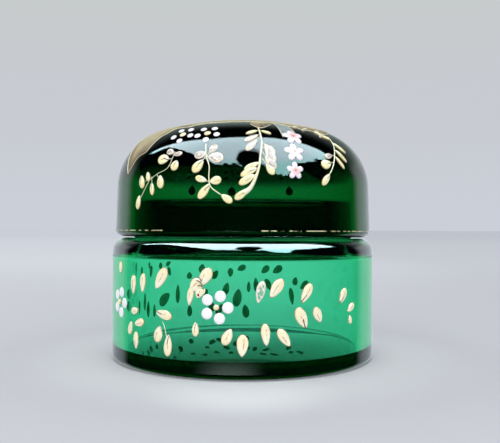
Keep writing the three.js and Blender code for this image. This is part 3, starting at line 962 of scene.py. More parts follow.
class GlassOutside:
    """The outside of a turned glass as a surface that enamel is laid on."""

    def __init__(self, profile: Sequence[Point], pattern_height: float) -> None:
        """Measures the profile.

        Args:
            profile: Radius and height of its points, going up the outside.
            pattern_height: The height that the pattern is drawn to.
        """
        self.profile = [Vector(p) for p in profile]
        self.pattern_height = pattern_height
        self.lengths = [0.0]
        for before, after in zip(self.profile, self.profile[1:]):
            self.lengths.append(self.lengths[-1] + (after - before).length)

    def section(self, distance: float) -> tuple[Vector, Vector]:
        """Finds a place on the profile.

        Args:
            distance: How far up the profile it is.

        Returns:
            Its radius and height, and the way that the glass faces there.
        """
        last = len(self.profile) - 2
        i = next((k - 1 for k, length in enumerate(self.lengths) if length > distance), last)
        i = min(max(i, 0), last)
        start, end = self.profile[i], self.profile[i + 1]
        share = (distance - self.lengths[i]) / (self.lengths[i + 1] - self.lengths[i])
        run = (end - start).normalized()
        return start.lerp(end, share), Vector((run.y, -run.x))

    def radius(self, spot: Spot) -> float:
        """Gives the glass's radius at a spot."""
        return self.section(spot.distance)[0].x

    def point(self, spot: Spot) -> Vector:
        """Gives the point of a spot."""
        place, _ = self.section(spot.distance)
        return Vector((place.x * math.sin(spot.turn), -place.x * math.cos(spot.turn), place.y))

    def axes(self, spot: Spot) -> tuple[Vector, Vector, Vector]:
        """Gives the directions at a spot.

        Args:
            spot: The spot.

        Returns:
            Right, up and outward.
        """
        _, facing = self.section(spot.distance)
        away = Vector((math.sin(spot.turn), -math.cos(spot.turn), 0))
        right = Vector((math.cos(spot.turn), math.sin(spot.turn), 0))
        outward = away * facing.x + Vector((0, 0, facing.y))
        return right, outward.cross(right), outward

    def drawn(self, turn_degrees: float, rise_share: float) -> Spot:
        """Gives the spot at degrees round the pattern and a share of its height."""
        return Spot(math.radians(turn_degrees), rise_share * self.pattern_height)

    def beside(self, spot: Spot, right: float, up: float) -> Spot:
        """Gives the spot a length to the right and a length up from another."""
        return Spot(spot.turn + right / self.radius(spot), spot.distance + up)

    def under(self, point: Vector) -> Spot:
        """Finds the spot nearest to a point in space.

        Args:
            point: The point.

        Returns:
            The spot.
        """
        flat = Vector((math.hypot(point.x, point.y), point.z))
        best, found = math.inf, 0.0
        for i, (start, end) in enumerate(zip(self.profile, self.profile[1:])):
            run = end - start
            share = min(max((flat - start).dot(run) / run.length_squared, 0.0), 1.0)
            gap = (flat - start.lerp(end, share)).length
            if gap < best:
                best, found = gap, self.lengths[i] + share * run.length
        return Spot(math.atan2(point.x, -point.y), found)


@dataclass(frozen=True)
class Dab:
    """One dab of enamel: where it lies, the way its tip points, and its size."""

    spot: Spot
    lean: float
    length: float
    width: float
    wear_and_sheen: float = 0.0

    def spread(self, share: float) -> "Dab":
        """Gives the dab after it ran wider in the firing: a round one runs all round, a leaf sideways."""
        length = self.length * share if self.length == self.width else self.length
        return replace(self, width=self.width * share, length=length)


# A dab's section from its crown over the edge to its underside, as shares of its reach and its relief
DAB_SECTION_SHARES = (
    (0.3, 0.99), (0.55, 0.93), (0.75, 0.8), (0.88, 0.6), (0.96, 0.35), (1.0, 0.12), (0.97, 0.0), (0.5, 0.0),
)


def dab_template(shape: Shape) -> bpy.types.Object:
    """Makes the closed flat form of a dab, with its place and lift as attributes.

    Args:
        shape: The outline's kind.

    Returns:
        A hidden object for the tree to copy.
    """
    sides = shape.value
    verts, places, lifts = [(0.0, 0.0, 0.0)], [(0.0, 0.0, 0.0)], [1.0]
    for reach, lift in DAB_SECTION_SHARES:
        for angle in (FULL_TURN * i / sides for i in range(sides)):
            x, y = shape.edge(angle)
            verts.append((x * reach, y * reach, 0.0))
            places.append((math.sin(angle) * reach, math.cos(angle) * reach, reach))
            lifts.append(lift)
    last, rings = len(verts), len(DAB_SECTION_SHARES)
    faces = []
    for i in range(sides):
        j = (i + 1) % sides
        starts = [1 + ring * sides for ring in range(rings)]
        faces.append((0, 1 + j, 1 + i))
        faces.append((last, starts[-1] + i, starts[-1] + j))
        faces += [(a + i, a + j, b + j, b + i) for a, b in zip(starts, starts[1:])]
    mesh = plain_mesh("dab", [*verts, verts[0]], faces=faces)
    give(mesh, "place", [*places, places[0]])
    give(mesh, "lift", [*lifts, 0.0])
    template = linked("dab_template", mesh)
    template.hide_render = True
    return template


def dab_of_node(name: str, outside: GlassOutside, shape: Shape) -> Dab:
    """Reads a dab's place, lean and size from its CAD node.

    Args:
        name: The node.
        outside: The glass that it lies on.
        shape: The outline's kind.

    Returns:
        The dab.
    """
    corners = {tuple(round(c, 7) for c in v.co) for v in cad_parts[name].data.vertices}
    points = [Vector(c) for c in sorted(corners)]
    centre = outside.under(sum(points, Vector()) / len(points))
    radius = outside.radius(centre)
    flat = []
    for spot in map(outside.under, points):
        swing = math.remainder(spot.turn - centre.turn, FULL_TURN)
        flat.append((swing * radius, spot.distance - centre.distance))
    if shape is not Shape.LEAF:
        width = max(x for x, _ in flat) - min(x for x, _ in flat)
        return Dab(centre, 0.0, width, width)
    across = sum(x * x for x, _ in flat)
    upward = sum(y * y for _, y in flat)
    mixed = sum(x * y for x, y in flat)
    axis = 0.5 * math.atan2(2 * mixed, across - upward)
    tip = (math.cos(axis), math.sin(axis))
    lengthways = [x * tip[0] + y * tip[1] for x, y in flat]
    sideways = [x * tip[1] - y * tip[0] for x, y in flat]
    if sum(a * b * b for a, b in zip(lengthways, sideways)) > 0:
        tip = (-tip[0], -tip[1])
    length, width = (max(values) - min(values) for values in (lengthways, sideways))
    # Where a leaf is widest, it is slimmer by a quarter of what it loses at its tip
    return Dab(centre, math.atan2(tip[0], tip[1]), length, width / (1 - LEAF_POINT_SHARE / 4))


@dataclass(frozen=True)
class Kit:
    """What the sub-assemblies share."""

    groups: ShaderGroups
    trees: GeometryTrees
    templates: dict[Shape, bpy.types.Object]
    materials: dict[str, bpy.types.Material] = field(default_factory=dict)

    def material(self, finish: GlassFinish | EnamelFinish | GildingFinish) -> bpy.types.Material:
        """Gives a finish's material, built when it is first asked for.

        Args:
            finish: The finish.

        Returns:
            The material.
        """
        if finish.name not in self.materials:
            self.materials[finish.name] = finish.material(self.groups)
        return self.materials[finish.name]


@dataclass(frozen=True)
class Work:
    """A piece of enamel or gilding to be laid: name, finish, the nodes that it stands for, and slot, which is
    not used.
    """

    name: str
    finish: EnamelFinish | GildingFinish
    nodes: Sequence[str] = ()
    slot: Slot = Slot.GOLD


class Enameller:
    """Lays dabs, trails and films on one glass."""

    def __init__(self, body: Body, glass: bpy.types.Object, outside: GlassOutside, kit: Kit) -> None:
        """Keeps the glass and the tools.

        Args:
            body: The loose piece that the glass is.
            glass: The glass.
            outside: Its outside.
            kit: What the sub-assemblies share.
        """
        self.body = body
        self.glass = glass
        self.outside = outside
        self.kit = kit

    def lay(self, work: Work, mesh: bpy.types.Mesh, tree: bpy.types.NodeTree, **inputs: Value) -> None:
        """Grows a piece on the glass and settles it.

        Args:
            work: What is laid.
            mesh: Its points, lines or patch.
            tree: The geometry tree that grows it.
            inputs: The tree's own inputs.
        """
        shared = {"Glass": self.glass, "Material": self.kit.material(work.finish)}
        settle(grown(work.name, mesh, tree, shared | inputs), self.body, work.nodes)

    def dabs(
        self, work: Work, dabs: Sequence[Dab], relief: float, shape: Shape = Shape.LEAF,
        unevenness: float = 0.25 * MM, marked: float = 0.0,
    ) -> None:
        """Lays dabs of one shape.

        Args:
            work: What is laid.
            dabs: The dabs.
            relief: How high their crowns stand.
            shape: The outline's kind.
            unevenness: How far the hand wandered.
            marked: The share of the dabs with a dark stroke at the stem end.
        """
        mesh = plain_mesh(work.name + "_points", [self.outside.point(d.spot) for d in dabs])
        dice = random.Random(work.name)
        give(mesh, "spin", [self.spin(d) for d in dabs])
        give(mesh, "size", [(d.width, d.length, 1.0) for d in dabs])
        give(mesh, "seed", [dice.uniform(0, 40) for _ in dabs])
        give(mesh, "wear_and_sheen", [d.wear_and_sheen for d in dabs])
        give(mesh, "marked", [float(dice.random() < marked) for _ in dabs])
        self.lay(
            work, mesh, self.kit.trees.dabs, Dab=self.kit.templates[shape], Relief=relief, Sink=DAB_SINK,
            Unevenness=unevenness, Seed=0.0,
        )

    def spin(self, dab: Dab) -> Triple:
        """Gives the turn in space that lays a dab on the glass with its lean.

        Args:
            dab: The dab.

        Returns:
            The turn about each axis.
        """
        right, up, outward = self.outside.axes(dab.spot)
        tip = up * math.cos(dab.lean) + right * math.sin(dab.lean)
        side = right * math.cos(dab.lean) - up * math.sin(dab.lean)
        return tuple(Matrix((side, tip, outward)).transposed().to_euler())

    def dots(
        self, start: str, finish: EnamelFinish, relief: float, unevenness: float, spread: float = 1.0,
        slot: Slot = Slot.GOLD,
    ) -> None:
        """Lays the round dots of the nodes whose names start alike.

        Args:
            start: The start of the names of the nodes and of the piece.
            finish: The enamel.
            relief: How high their crowns stand.
            unevenness: How far the hand wandered.
            spread: How much wider than their nodes they are.
            slot: The record's material slot.
        """
        nodes = nodes_named(start + "_dot_")
        dabs = [dab_of_node(n, self.outside, Shape.ROUND).spread(spread) for n in nodes]
        self.dabs(Work(start + "_dots", finish, nodes, slot), dabs, relief, Shape.ROUND, unevenness)

    def trails(
        self, work: Work, lines: Sequence[Sequence[Spot]], girths: Sequence[Sequence[float]],
        lift: float = 0.3, spacing: float = 0.35 * MM, sides: int = 10,
    ) -> None:
        """Draws trails.

        Args:
            work: What is drawn.
            lines: The spots that each trail goes through.
            girths: The trail's radius at each spot.
            lift: How far the middle of a trail stands off the glass, as a share of its radius.
            spacing: The step along a trail.
            sides: How many sides a trail has.
        """
        verts, edges = [], []
        for line in lines:
            edges += [(i, i + 1) for i in range(len(verts), len(verts) + len(line) - 1)]
            verts += [self.outside.point(spot) for spot in line]
        mesh = plain_mesh(work.name + "_lines", verts, edges)
        give(mesh, "girth", [girth for widths in girths for girth in widths])
        self.lay(work, mesh, self.kit.trees.trails, Spacing=spacing, Lift=lift, Sides=sides)

    def film(self, work: Work, lines: Sequence[tuple[Spot, Spot]], rows: int, thickness: float) -> None:
        """Lays a film.

        Args:
            work: What is laid.
            lines: The low and the high end of each line across the film, going round to the right.
            rows: How many steps there are from the low end to the high end.
            thickness: How thick the film is.
        """
        shares = [i / rows for i in range(rows + 1)]
        verts = [self.outside.point(low.toward(high, s)) for low, high in lines for s in shares]
        column = rows + 1
        starts = [c * column + i for c in range(len(lines) - 1) for i in range(rows)]
        faces = [(a, a + column, a + column + 1, a + 1) for a in starts]
        mesh = plain_mesh(work.name + "_patch", verts, faces=faces)
        give(mesh, "from_edge", [(high.distance - low.distance) * s for low, high in lines for s in shares])
        self.lay(work, mesh, self.kit.trees.film, Thickness=thickness, Sink=FILM_SINK, Weld=SEAM_GAP)


def turned_glass(
    node: str, body: Body, section: Sequence[Point], finish: GlassFinish, kit: Kit,
) -> bpy.types.Object:
    """Turns a section into a glass.

    Args:
        node: The CAD node that it stands for.
        body: The loose piece that it is.
        section: Radius and height of the section's points, in order.
        finish: The glass.
        kit: What the sub-assemblies share.

    Returns:
        The glass.
    """
    source = plain_mesh(node + "_section", [(x, 0.0, z) for x, z in run_out(section)])
    glass = grown(node + "_glass", source, kit.trees.turned, {
        "Steps": GLASS_STEPS, "Weld": SEAM_GAP, "Material": kit.material(finish),
    })
    settle(glass, body, (node,))
    return glass


@dataclass(frozen=True)
class Leaf:
    """A leaf in a table.

    The turn is in degrees round the pattern and the rise a share of its height. The length is a share of
    the longest leaf and the width a share of the leaf's own length. A lean in degrees is the way that the
    leaf's slim end points; without one a leaf of a spray points to its root. The leaf's stalk grows from a
    share of the stem.
    """

    turn: float
    rise: float
    length: float
    width: float
    lean: float = 0.0
    grows: float = 0.0
    wear_and_sheen: float = 0.0

    def dab(self, outside: GlassOutside, longest: float) -> Dab:
        """Makes the leaf's dab.

        Args:
            outside: The glass that it lies on.
            longest: The length of the longest leaf.

        Returns:
            The dab.
        """
        length = self.length * longest
        spot = outside.drawn(self.turn, self.rise)
        return Dab(spot, math.radians(self.lean), length, self.width * length, self.wear_and_sheen)


def stalked(grows: float, *leaf: float, lean: float = 0.0, wear_and_sheen: float = 0.0) -> Leaf:
    """Gives a leaf of a spray, from where it grows and its turn, rise, length and width."""
    return Leaf(*leaf, lean, grows, wear_and_sheen)


@dataclass(frozen=True)
class Spray:
    """A stem's points, as degrees round the pattern and shares of its height, and its leaves."""

    stem: tuple[Point, ...]
    leaves: tuple[Leaf, ...]
    thickening: float = 1.0
    girth: float = 1.0


def along(points: Sequence[Point], share: float) -> Point:
    """Finds a point on a line through points.

    Args:
        points: The line's points.
        share: How far along it is, where every step between two points counts the same.

    Returns:
        The point.
    """
    step = share * (len(points) - 1)
    i = min(int(step), len(points) - 2)
    (x0, y0), (x1, y1) = points[i], points[i + 1]
    return x0 + (x1 - x0) * (step - i), y0 + (y1 - y0) * (step - i)


# Sprays on the lid. Leaves given wear lie in the soft box's reflection, where their pale wash is painted
# reflection as well as wear
LID_SPRAYS = (
    Spray(((-29.6, 0.362), (-31.3, 0.292), (-36.6, 0.265), (-41, 0.239)), (
        stalked(0.04, -32, 0.362, 0.6, 0.85, wear_and_sheen=1), stalked(0.16, -34.6, 0.329, 0.92, 0.85),
        stalked(0.08, -27.8, 0.35, 0.62, 0.6, wear_and_sheen=1), stalked(0.3, -28.2, 0.298, 0.7, 0.9, lean=20),
        stalked(0.85, -41.6, 0.256, 0.62, 0.65, lean=345), stalked(0.98, -45.4, 0.235, 0.88, 0.66, lean=350),
        stalked(0.68, -34.6, 0.231, 0.86, 0.72, lean=355), stalked(0.88, -39, 0.203, 0.82, 0.5),
        stalked(0.98, -47.4, 0.148, 0.95, 0.55, lean=12),
    ), girth=0.3),
    Spray(((-16.1, 0.394), (-14.9, 0.334), (-13.3, 0.29), (-13.2, 0.24), (-12.3, 0.204), (-8.6, 0.175)), (
        stalked(0.16, -17.5, 0.342, 0.78, 0.8, wear_and_sheen=1), stalked(0.2, -12.5, 0.37, 0.72, 0.8, wear_and_sheen=1),
        stalked(0.2, -11, 0.328, 0.98, 0.82, wear_and_sheen=1), stalked(0.2, -17.9, 0.292, 1.02, 0.66),
        stalked(0.68, -16.3, 0.237, 0.8, 0.58), stalked(0.68, -10.6, 0.231, 0.74, 0.8),
        stalked(0.72, -15, 0.188, 1.18, 0.48), stalked(0.98, -6.2, 0.158, 0.82, 0.62),
    ), girth=0.65),
    Spray(((7.4, 0.5), (7.8, 0.407), (6.8, 0.341), (6.1, 0.29), (4.6, 0.24), (2.6, 0.2), (0.2, 0.181)), (
        stalked(0.03, 3.8, 0.467, 0.85, 0.36), stalked(0.08, 3.4, 0.428, 1.1, 0.38, wear_and_sheen=1),
        stalked(0.1, 3.5, 0.39, 1.15, 0.45, wear_and_sheen=1), stalked(0.03, 10.6, 0.468, 0.7, 0.36),
        stalked(0.16, 10.7, 0.366, 0.98, 0.66, wear_and_sheen=1), stalked(0.22, 10.9, 0.336, 0.98, 0.6, wear_and_sheen=1),
        stalked(0.28, 10.7, 0.308, 1.05, 0.58, wear_and_sheen=1), stalked(0.36, 10.4, 0.278, 0.8, 0.66),
        stalked(0.44, 3.2, 0.29, 1.05, 0.4), stalked(0.52, 2.2, 0.266, 1.15, 0.42),
        stalked(0.6, 1.4, 0.235, 1.15, 0.46), stalked(0.86, -0.7, 0.174, 1.0, 0.5),
    ), thickening=3.6),
    Spray(((47.4, 0.475), (46.2, 0.421), (42.8, 0.36), (39.7, 0.306), (37.2, 0.272)), (
        stalked(0.02, 43.6, 0.468, 0.85, 0.4, lean=300), stalked(0.02, 41.5, 0.49, 0.7, 0.36, lean=300),
        stalked(0.2, 49.4, 0.405, 1.25, 0.26, lean=312), stalked(0.4, 47.2, 0.36, 1.25, 0.26, lean=318),
        stalked(0.56, 44.6, 0.326, 1.1, 0.28, lean=322), stalked(0.5, 38.6, 0.352, 0.72, 0.6, wear_and_sheen=1),
        stalked(0.66, 36, 0.312, 0.9, 0.78), stalked(0.98, 34.9, 0.245, 1.0, 0.5),
    ), girth=0.6),
)

# Pendants on the far side of the lid, each with a tip leaf and pairs of leaves higher up
FAR_PENDANTS = tuple(
    Spray(((turn, 0.5), (turn + 1, 0.46), (turn, 0.41), (turn - 0.5, 0.38)), (
        stalked(0.98, turn, 0.252, 0.85, 1.0), stalked(0.6, turn - 4, 0.35, 0.7, 0.6),
        stalked(0.55, turn + 4, 0.36, 0.7, 0.6), stalked(0.3, turn - 3.5, 0.42, 0.6, 0.6),
        stalked(0.25, turn + 4.5, 0.43, 0.6, 0.6),
    ))
    for turn in (-148.0, -173.1, 151.4)
)

# Leaves on the far side of the base: turn, rise, length, width and lean
FAR_LEAVES = tuple(Leaf(*row) for row in (
    (-98.6, 0.71, 0.7, 0.5, 175), (-107.6, 0.667, 0.66, 0.47, 170), (-116.8, 0.728, 0.35, 0.62, 180),
    (-118.5, 0.67, 0.62, 0.53, 170), (-127.2, 0.72, 0.34, 1.0), (-133.5, 0.735, 0.42, 0.69, 300),
    (-134.2, 0.657, 0.5, 0.62, 200), (-130.6, 0.395, 0.98, 0.69, 300), (-140.5, 0.434, 1.0, 0.35),
    (-148.2, 0.608, 0.38, 1.06), (-156.1, 0.674, 0.5, 0.94, 345), (-164.0, 0.61, 0.55, 0.75, 320),
    (-172.9, 0.63, 0.5, 0.75, 180), (-179.4, 0.676, 0.55, 0.69, 112), (167.0, 0.662, 0.6, 0.69, 130),
    (159.7, 0.664, 0.68, 0.65, 120), (-148.5, 0.26, 0.62, 0.62), (-170.5, 0.466, 0.72, 0.62, 345),
    (-177.0, 0.373, 1.0, 0.6, 350), (178.2, 0.238, 0.74, 0.65, 10), (176.5, 0.485, 0.6, 0.43),
    (172.3, 0.507, 0.8, 0.43, 5), (165.2, 0.51, 0.72, 0.55, 210), (148.7, 0.556, 0.46, 0.88, 345),
    (142.6, 0.522, 0.7, 0.62, 125), (151.0, 0.404, 0.95, 0.38, 190), (-122.0, 0.3, 0.65, 0.45),
    (-115.8, 0.326, 0.86, 0.4), (-111.9, 0.4, 0.9, 0.38), (-104.8, 0.36, 0.7, 0.38, 180),
    (-158.4, 0.435, 0.4, 0.88, 330), (-161.7, 0.3, 0.7, 0.62, 25), (-166.7, 0.26, 0.66, 0.62, 325),
))

# Leaves of the right-hand spray that lie over the edge of the gilded panel
CROWN_LEAVES = (
    Leaf(33.9, 0.514, 0.6, 0.36, 250), Leaf(41.9, 0.507, 0.6, 0.36, 255), Leaf(42.1, 0.473, 0.7, 0.4, 240),
    Leaf(29.0, 0.53, 0.5, 0.36, 260),
)

# Blossoms on the lid, from the top: turn, rise and width
BLOSSOM_SHARES = ((23.2, 0.447, 1.4), (21.5, 0.36, 1.38), (20.6, 0.276, 1.15))

# The lower edge of the gilded panel on the crown, from one pointed lobe to the next: turn, rise
PANEL_EDGE_SHARES = (
    (-57.9, 0.278), (-55.0, 0.318), (-52.8, 0.354), (-47.7, 0.375), (-44.8, 0.462), (-42.3, 0.49),
    (-40.6, 0.532), (-31.5, 0.537), (-23.7, 0.59), (0.7, 0.628), (20.0, 0.606), (26.5, 0.545),
    (31.5, 0.522), (40.0, 0.508), (47.0, 0.497), (53.0, 0.51), (62.0, 0.56), (84.0, 0.6),
    (103.0, 0.56), (108.0, 0.48), (114.0, 0.4),
)
# A pendant and a wedge that hang from the panel: turn, rise of the low end and of the high end
PENDANT_LINE_SHARES = (
    (3.9, 0.556, 0.62), (5.4, 0.53, 0.625), (8.1, 0.507, 0.63), (11.5, 0.52, 0.635), (14.0, 0.543, 0.64),
    (16.4, 0.567, 0.645),
)
WEDGE_LINE_SHARES = ((18.2, 0.441, 0.6), (20.6, 0.448, 0.585), (23.2, 0.456, 0.568), (25.6, 0.464, 0.545))
# Where the worn line above the lid's rim is left
RIM_LINE_DEGREES = ((-86, -33), (3, 78), (100, 171), (190, 262))

# The leaf on the base that is worn open
WORN_LEAF_SHARES = (6.5, 0.63)
# The curled leaf: its middle, its dabs as right, up, lean, length and width, and as right and up the dark
# strokes over it, its hooked tip and the red dot on it
CURL_PLACE_SHARES = (-17.4, 0.672)
CURL_DAB_SHARES = (
    (0.38, 0.33, 212, 0.8, 0.66), (0.0, 0.0, 230, 0.62, 0.95), (-0.23, -0.42, 188, 0.78, 0.4),
    (0.15, -0.3, 200, 0.44, 0.9),
)
CURL_STROKE_SHARES = (
    ((0.1, 0.33), (0.2, 0.27), (0.26, 0.17)), ((0.06, 0.2), (0.16, 0.16), (0.25, 0.1), (0.3, -0.03)),
    ((0.12, -0.02), (0.2, 0.02), (0.28, -0.04)),
)
CURL_HOOK_SHARES = ((0.36, -0.12), (0.33, -0.3), (0.09, -0.46))
CURL_DOT_SHARES = (0.126, -0.36)
# The red dot's length and width as shares of the longest leaf
CURL_DOT_SIZE_SHARES = (0.17, 0.13)
# A bare stalk low on the base
STALK_SHARES = ((-31.5, 0.4), (-30.2, 0.34), (-29.5, 0.27))

CREAM = EnamelFinish(
    "cream_gold_enamel", body=srgb(255, 254, 228), warm=srgb(252, 240, 196), stroke=srgb(206, 134, 92),
    edge_width=0.07, edge_share=0.75, vein_width=0.09, coat=0.1, bare=srgb(120, 186, 150),
)
STRAW = EnamelFinish(
    "straw_gold_enamel", body=srgb(255, 254, 216), warm=srgb(254, 240, 176), stroke=srgb(140, 100, 64),
    edge_width=0.09, edge_share=0.65, vein_width=0.09, vein_share=0.6, coat=0.15,
)
UMBER = EnamelFinish("umber_strokes", body=srgb(84, 54, 40), warm=srgb(60, 36, 30), stroke=srgb(50, 30, 24))
MADDER = EnamelFinish(
    "madder_dot", body=srgb(176, 34, 60), warm=srgb(120, 16, 36), stroke=srgb(90, 12, 24), vein_share=0,
)
# White enamel: its faint lilac edge stroke is painted shade, a ring round each dot
WHITE = EnamelFinish(
    "white_enamel", body=srgb(255, 255, 255), warm=srgb(250, 248, 254), stroke=srgb(232, 228, 240),
    edge_share=0.25, vein_share=0.0, coat=0.1,
)
GOLD = EnamelFinish(
    "gold_enamel", body=srgb(255, 248, 214), warm=srgb(246, 226, 172), stroke=srgb(190, 136, 92),
    edge_share=0.4, vein_share=0.25, coat=0.1,
)
BLOSSOM = EnamelFinish(
    "blossom_enamel", body=srgb(255, 253, 255), warm=srgb(250, 240, 248), stroke=srgb(214, 180, 200),
    vein_share=0.0, heart=srgb(246, 190, 196), eye=srgb(206, 136, 92), edge_share=0.25, coat=0.1,
)
# The bronze panel's fade is painted shade along its low edge, so that it is paler higher up, as a painted
# sheen
BRONZE = GildingFinish(
    "bronze_gilding", bright=srgb(196, 176, 138), dull=srgb(112, 92, 66), wear=0.14, scale=110.0,
    metallic=0.2, roughness=0.5, fade=8.0 * MM,
)
SILVERED = GildingFinish(
    "silvered_gilding", bright=srgb(158, 168, 166), dull=srgb(84, 96, 100), wear=0.24, metallic=0.1,
    roughness=0.4,
)
GILT = GildingFinish(
    "pale_gilding", bright=srgb(232, 220, 192), dull=srgb(184, 164, 120), wear=0.2, metallic=0.1,
)
WORN_GILT = GildingFinish(
    "worn_gilding", bright=srgb(240, 226, 188), dull=srgb(196, 176, 128), wear=0.5, scale=420.0,
    metallic=0.2,
)
BASE_GLASS = GlassFinish("base_glass", through=(0.0, 0.955, 0.67, 1.0), density=215.0, kick=2.4 * MM, zones=(
    # Painted shade: the glass darker towards the bottom
    GlassZone(-1 * MM, 3.4 * MM, 0.9 * MM, (0.2, 0.2, 0.24, 1.0)),
    # Painted shade: the foot band darker still, towards navy
    GlassZone(-1 * MM, 1.1 * MM, 0.9 * MM, (0.1, 0.055, 0.16, 1.0)),
    # Scuffed underside, its near-black colour painted shade
    GlassZone(-1 * MM, 1.2 * MM, 0.3 * MM, (0.004, 0.006, 0.006, 1.0), scuff=1.0, within=43.0 * MM),
    # Painted shade: a darker band over the shoulder, which also mirrors more
    GlassZone(35.6 * MM, 41.2 * MM, 0.5 * MM, (0.28, 0.46, 0.28, 1.0), polish=0.5),
    # Painted shade: the collar darker, broken by upright streaks
    GlassZone(42.0 * MM, 60 * MM, 1.5 * MM, (0.5, 0.46, 0.36, 1.0), streaks=0.45),
))
LID_GLASS = GlassFinish("lid_glass", through=(0.0, 0.69, 0.37, 1.0), density=470.0, zones=(
    # Painted shade: the lid darker towards its crown
    GlassZone(63.5 * MM, 95 * MM, 4.5 * MM, (0.2, 0.14, 0.14, 1.0)),
    # Painted shade: the lid darker inside its rim
    GlassZone(30 * MM, 52.0 * MM, 1.5 * MM, (0.12, 0.12, 0.12, 1.0), within=39.5 * MM),
))


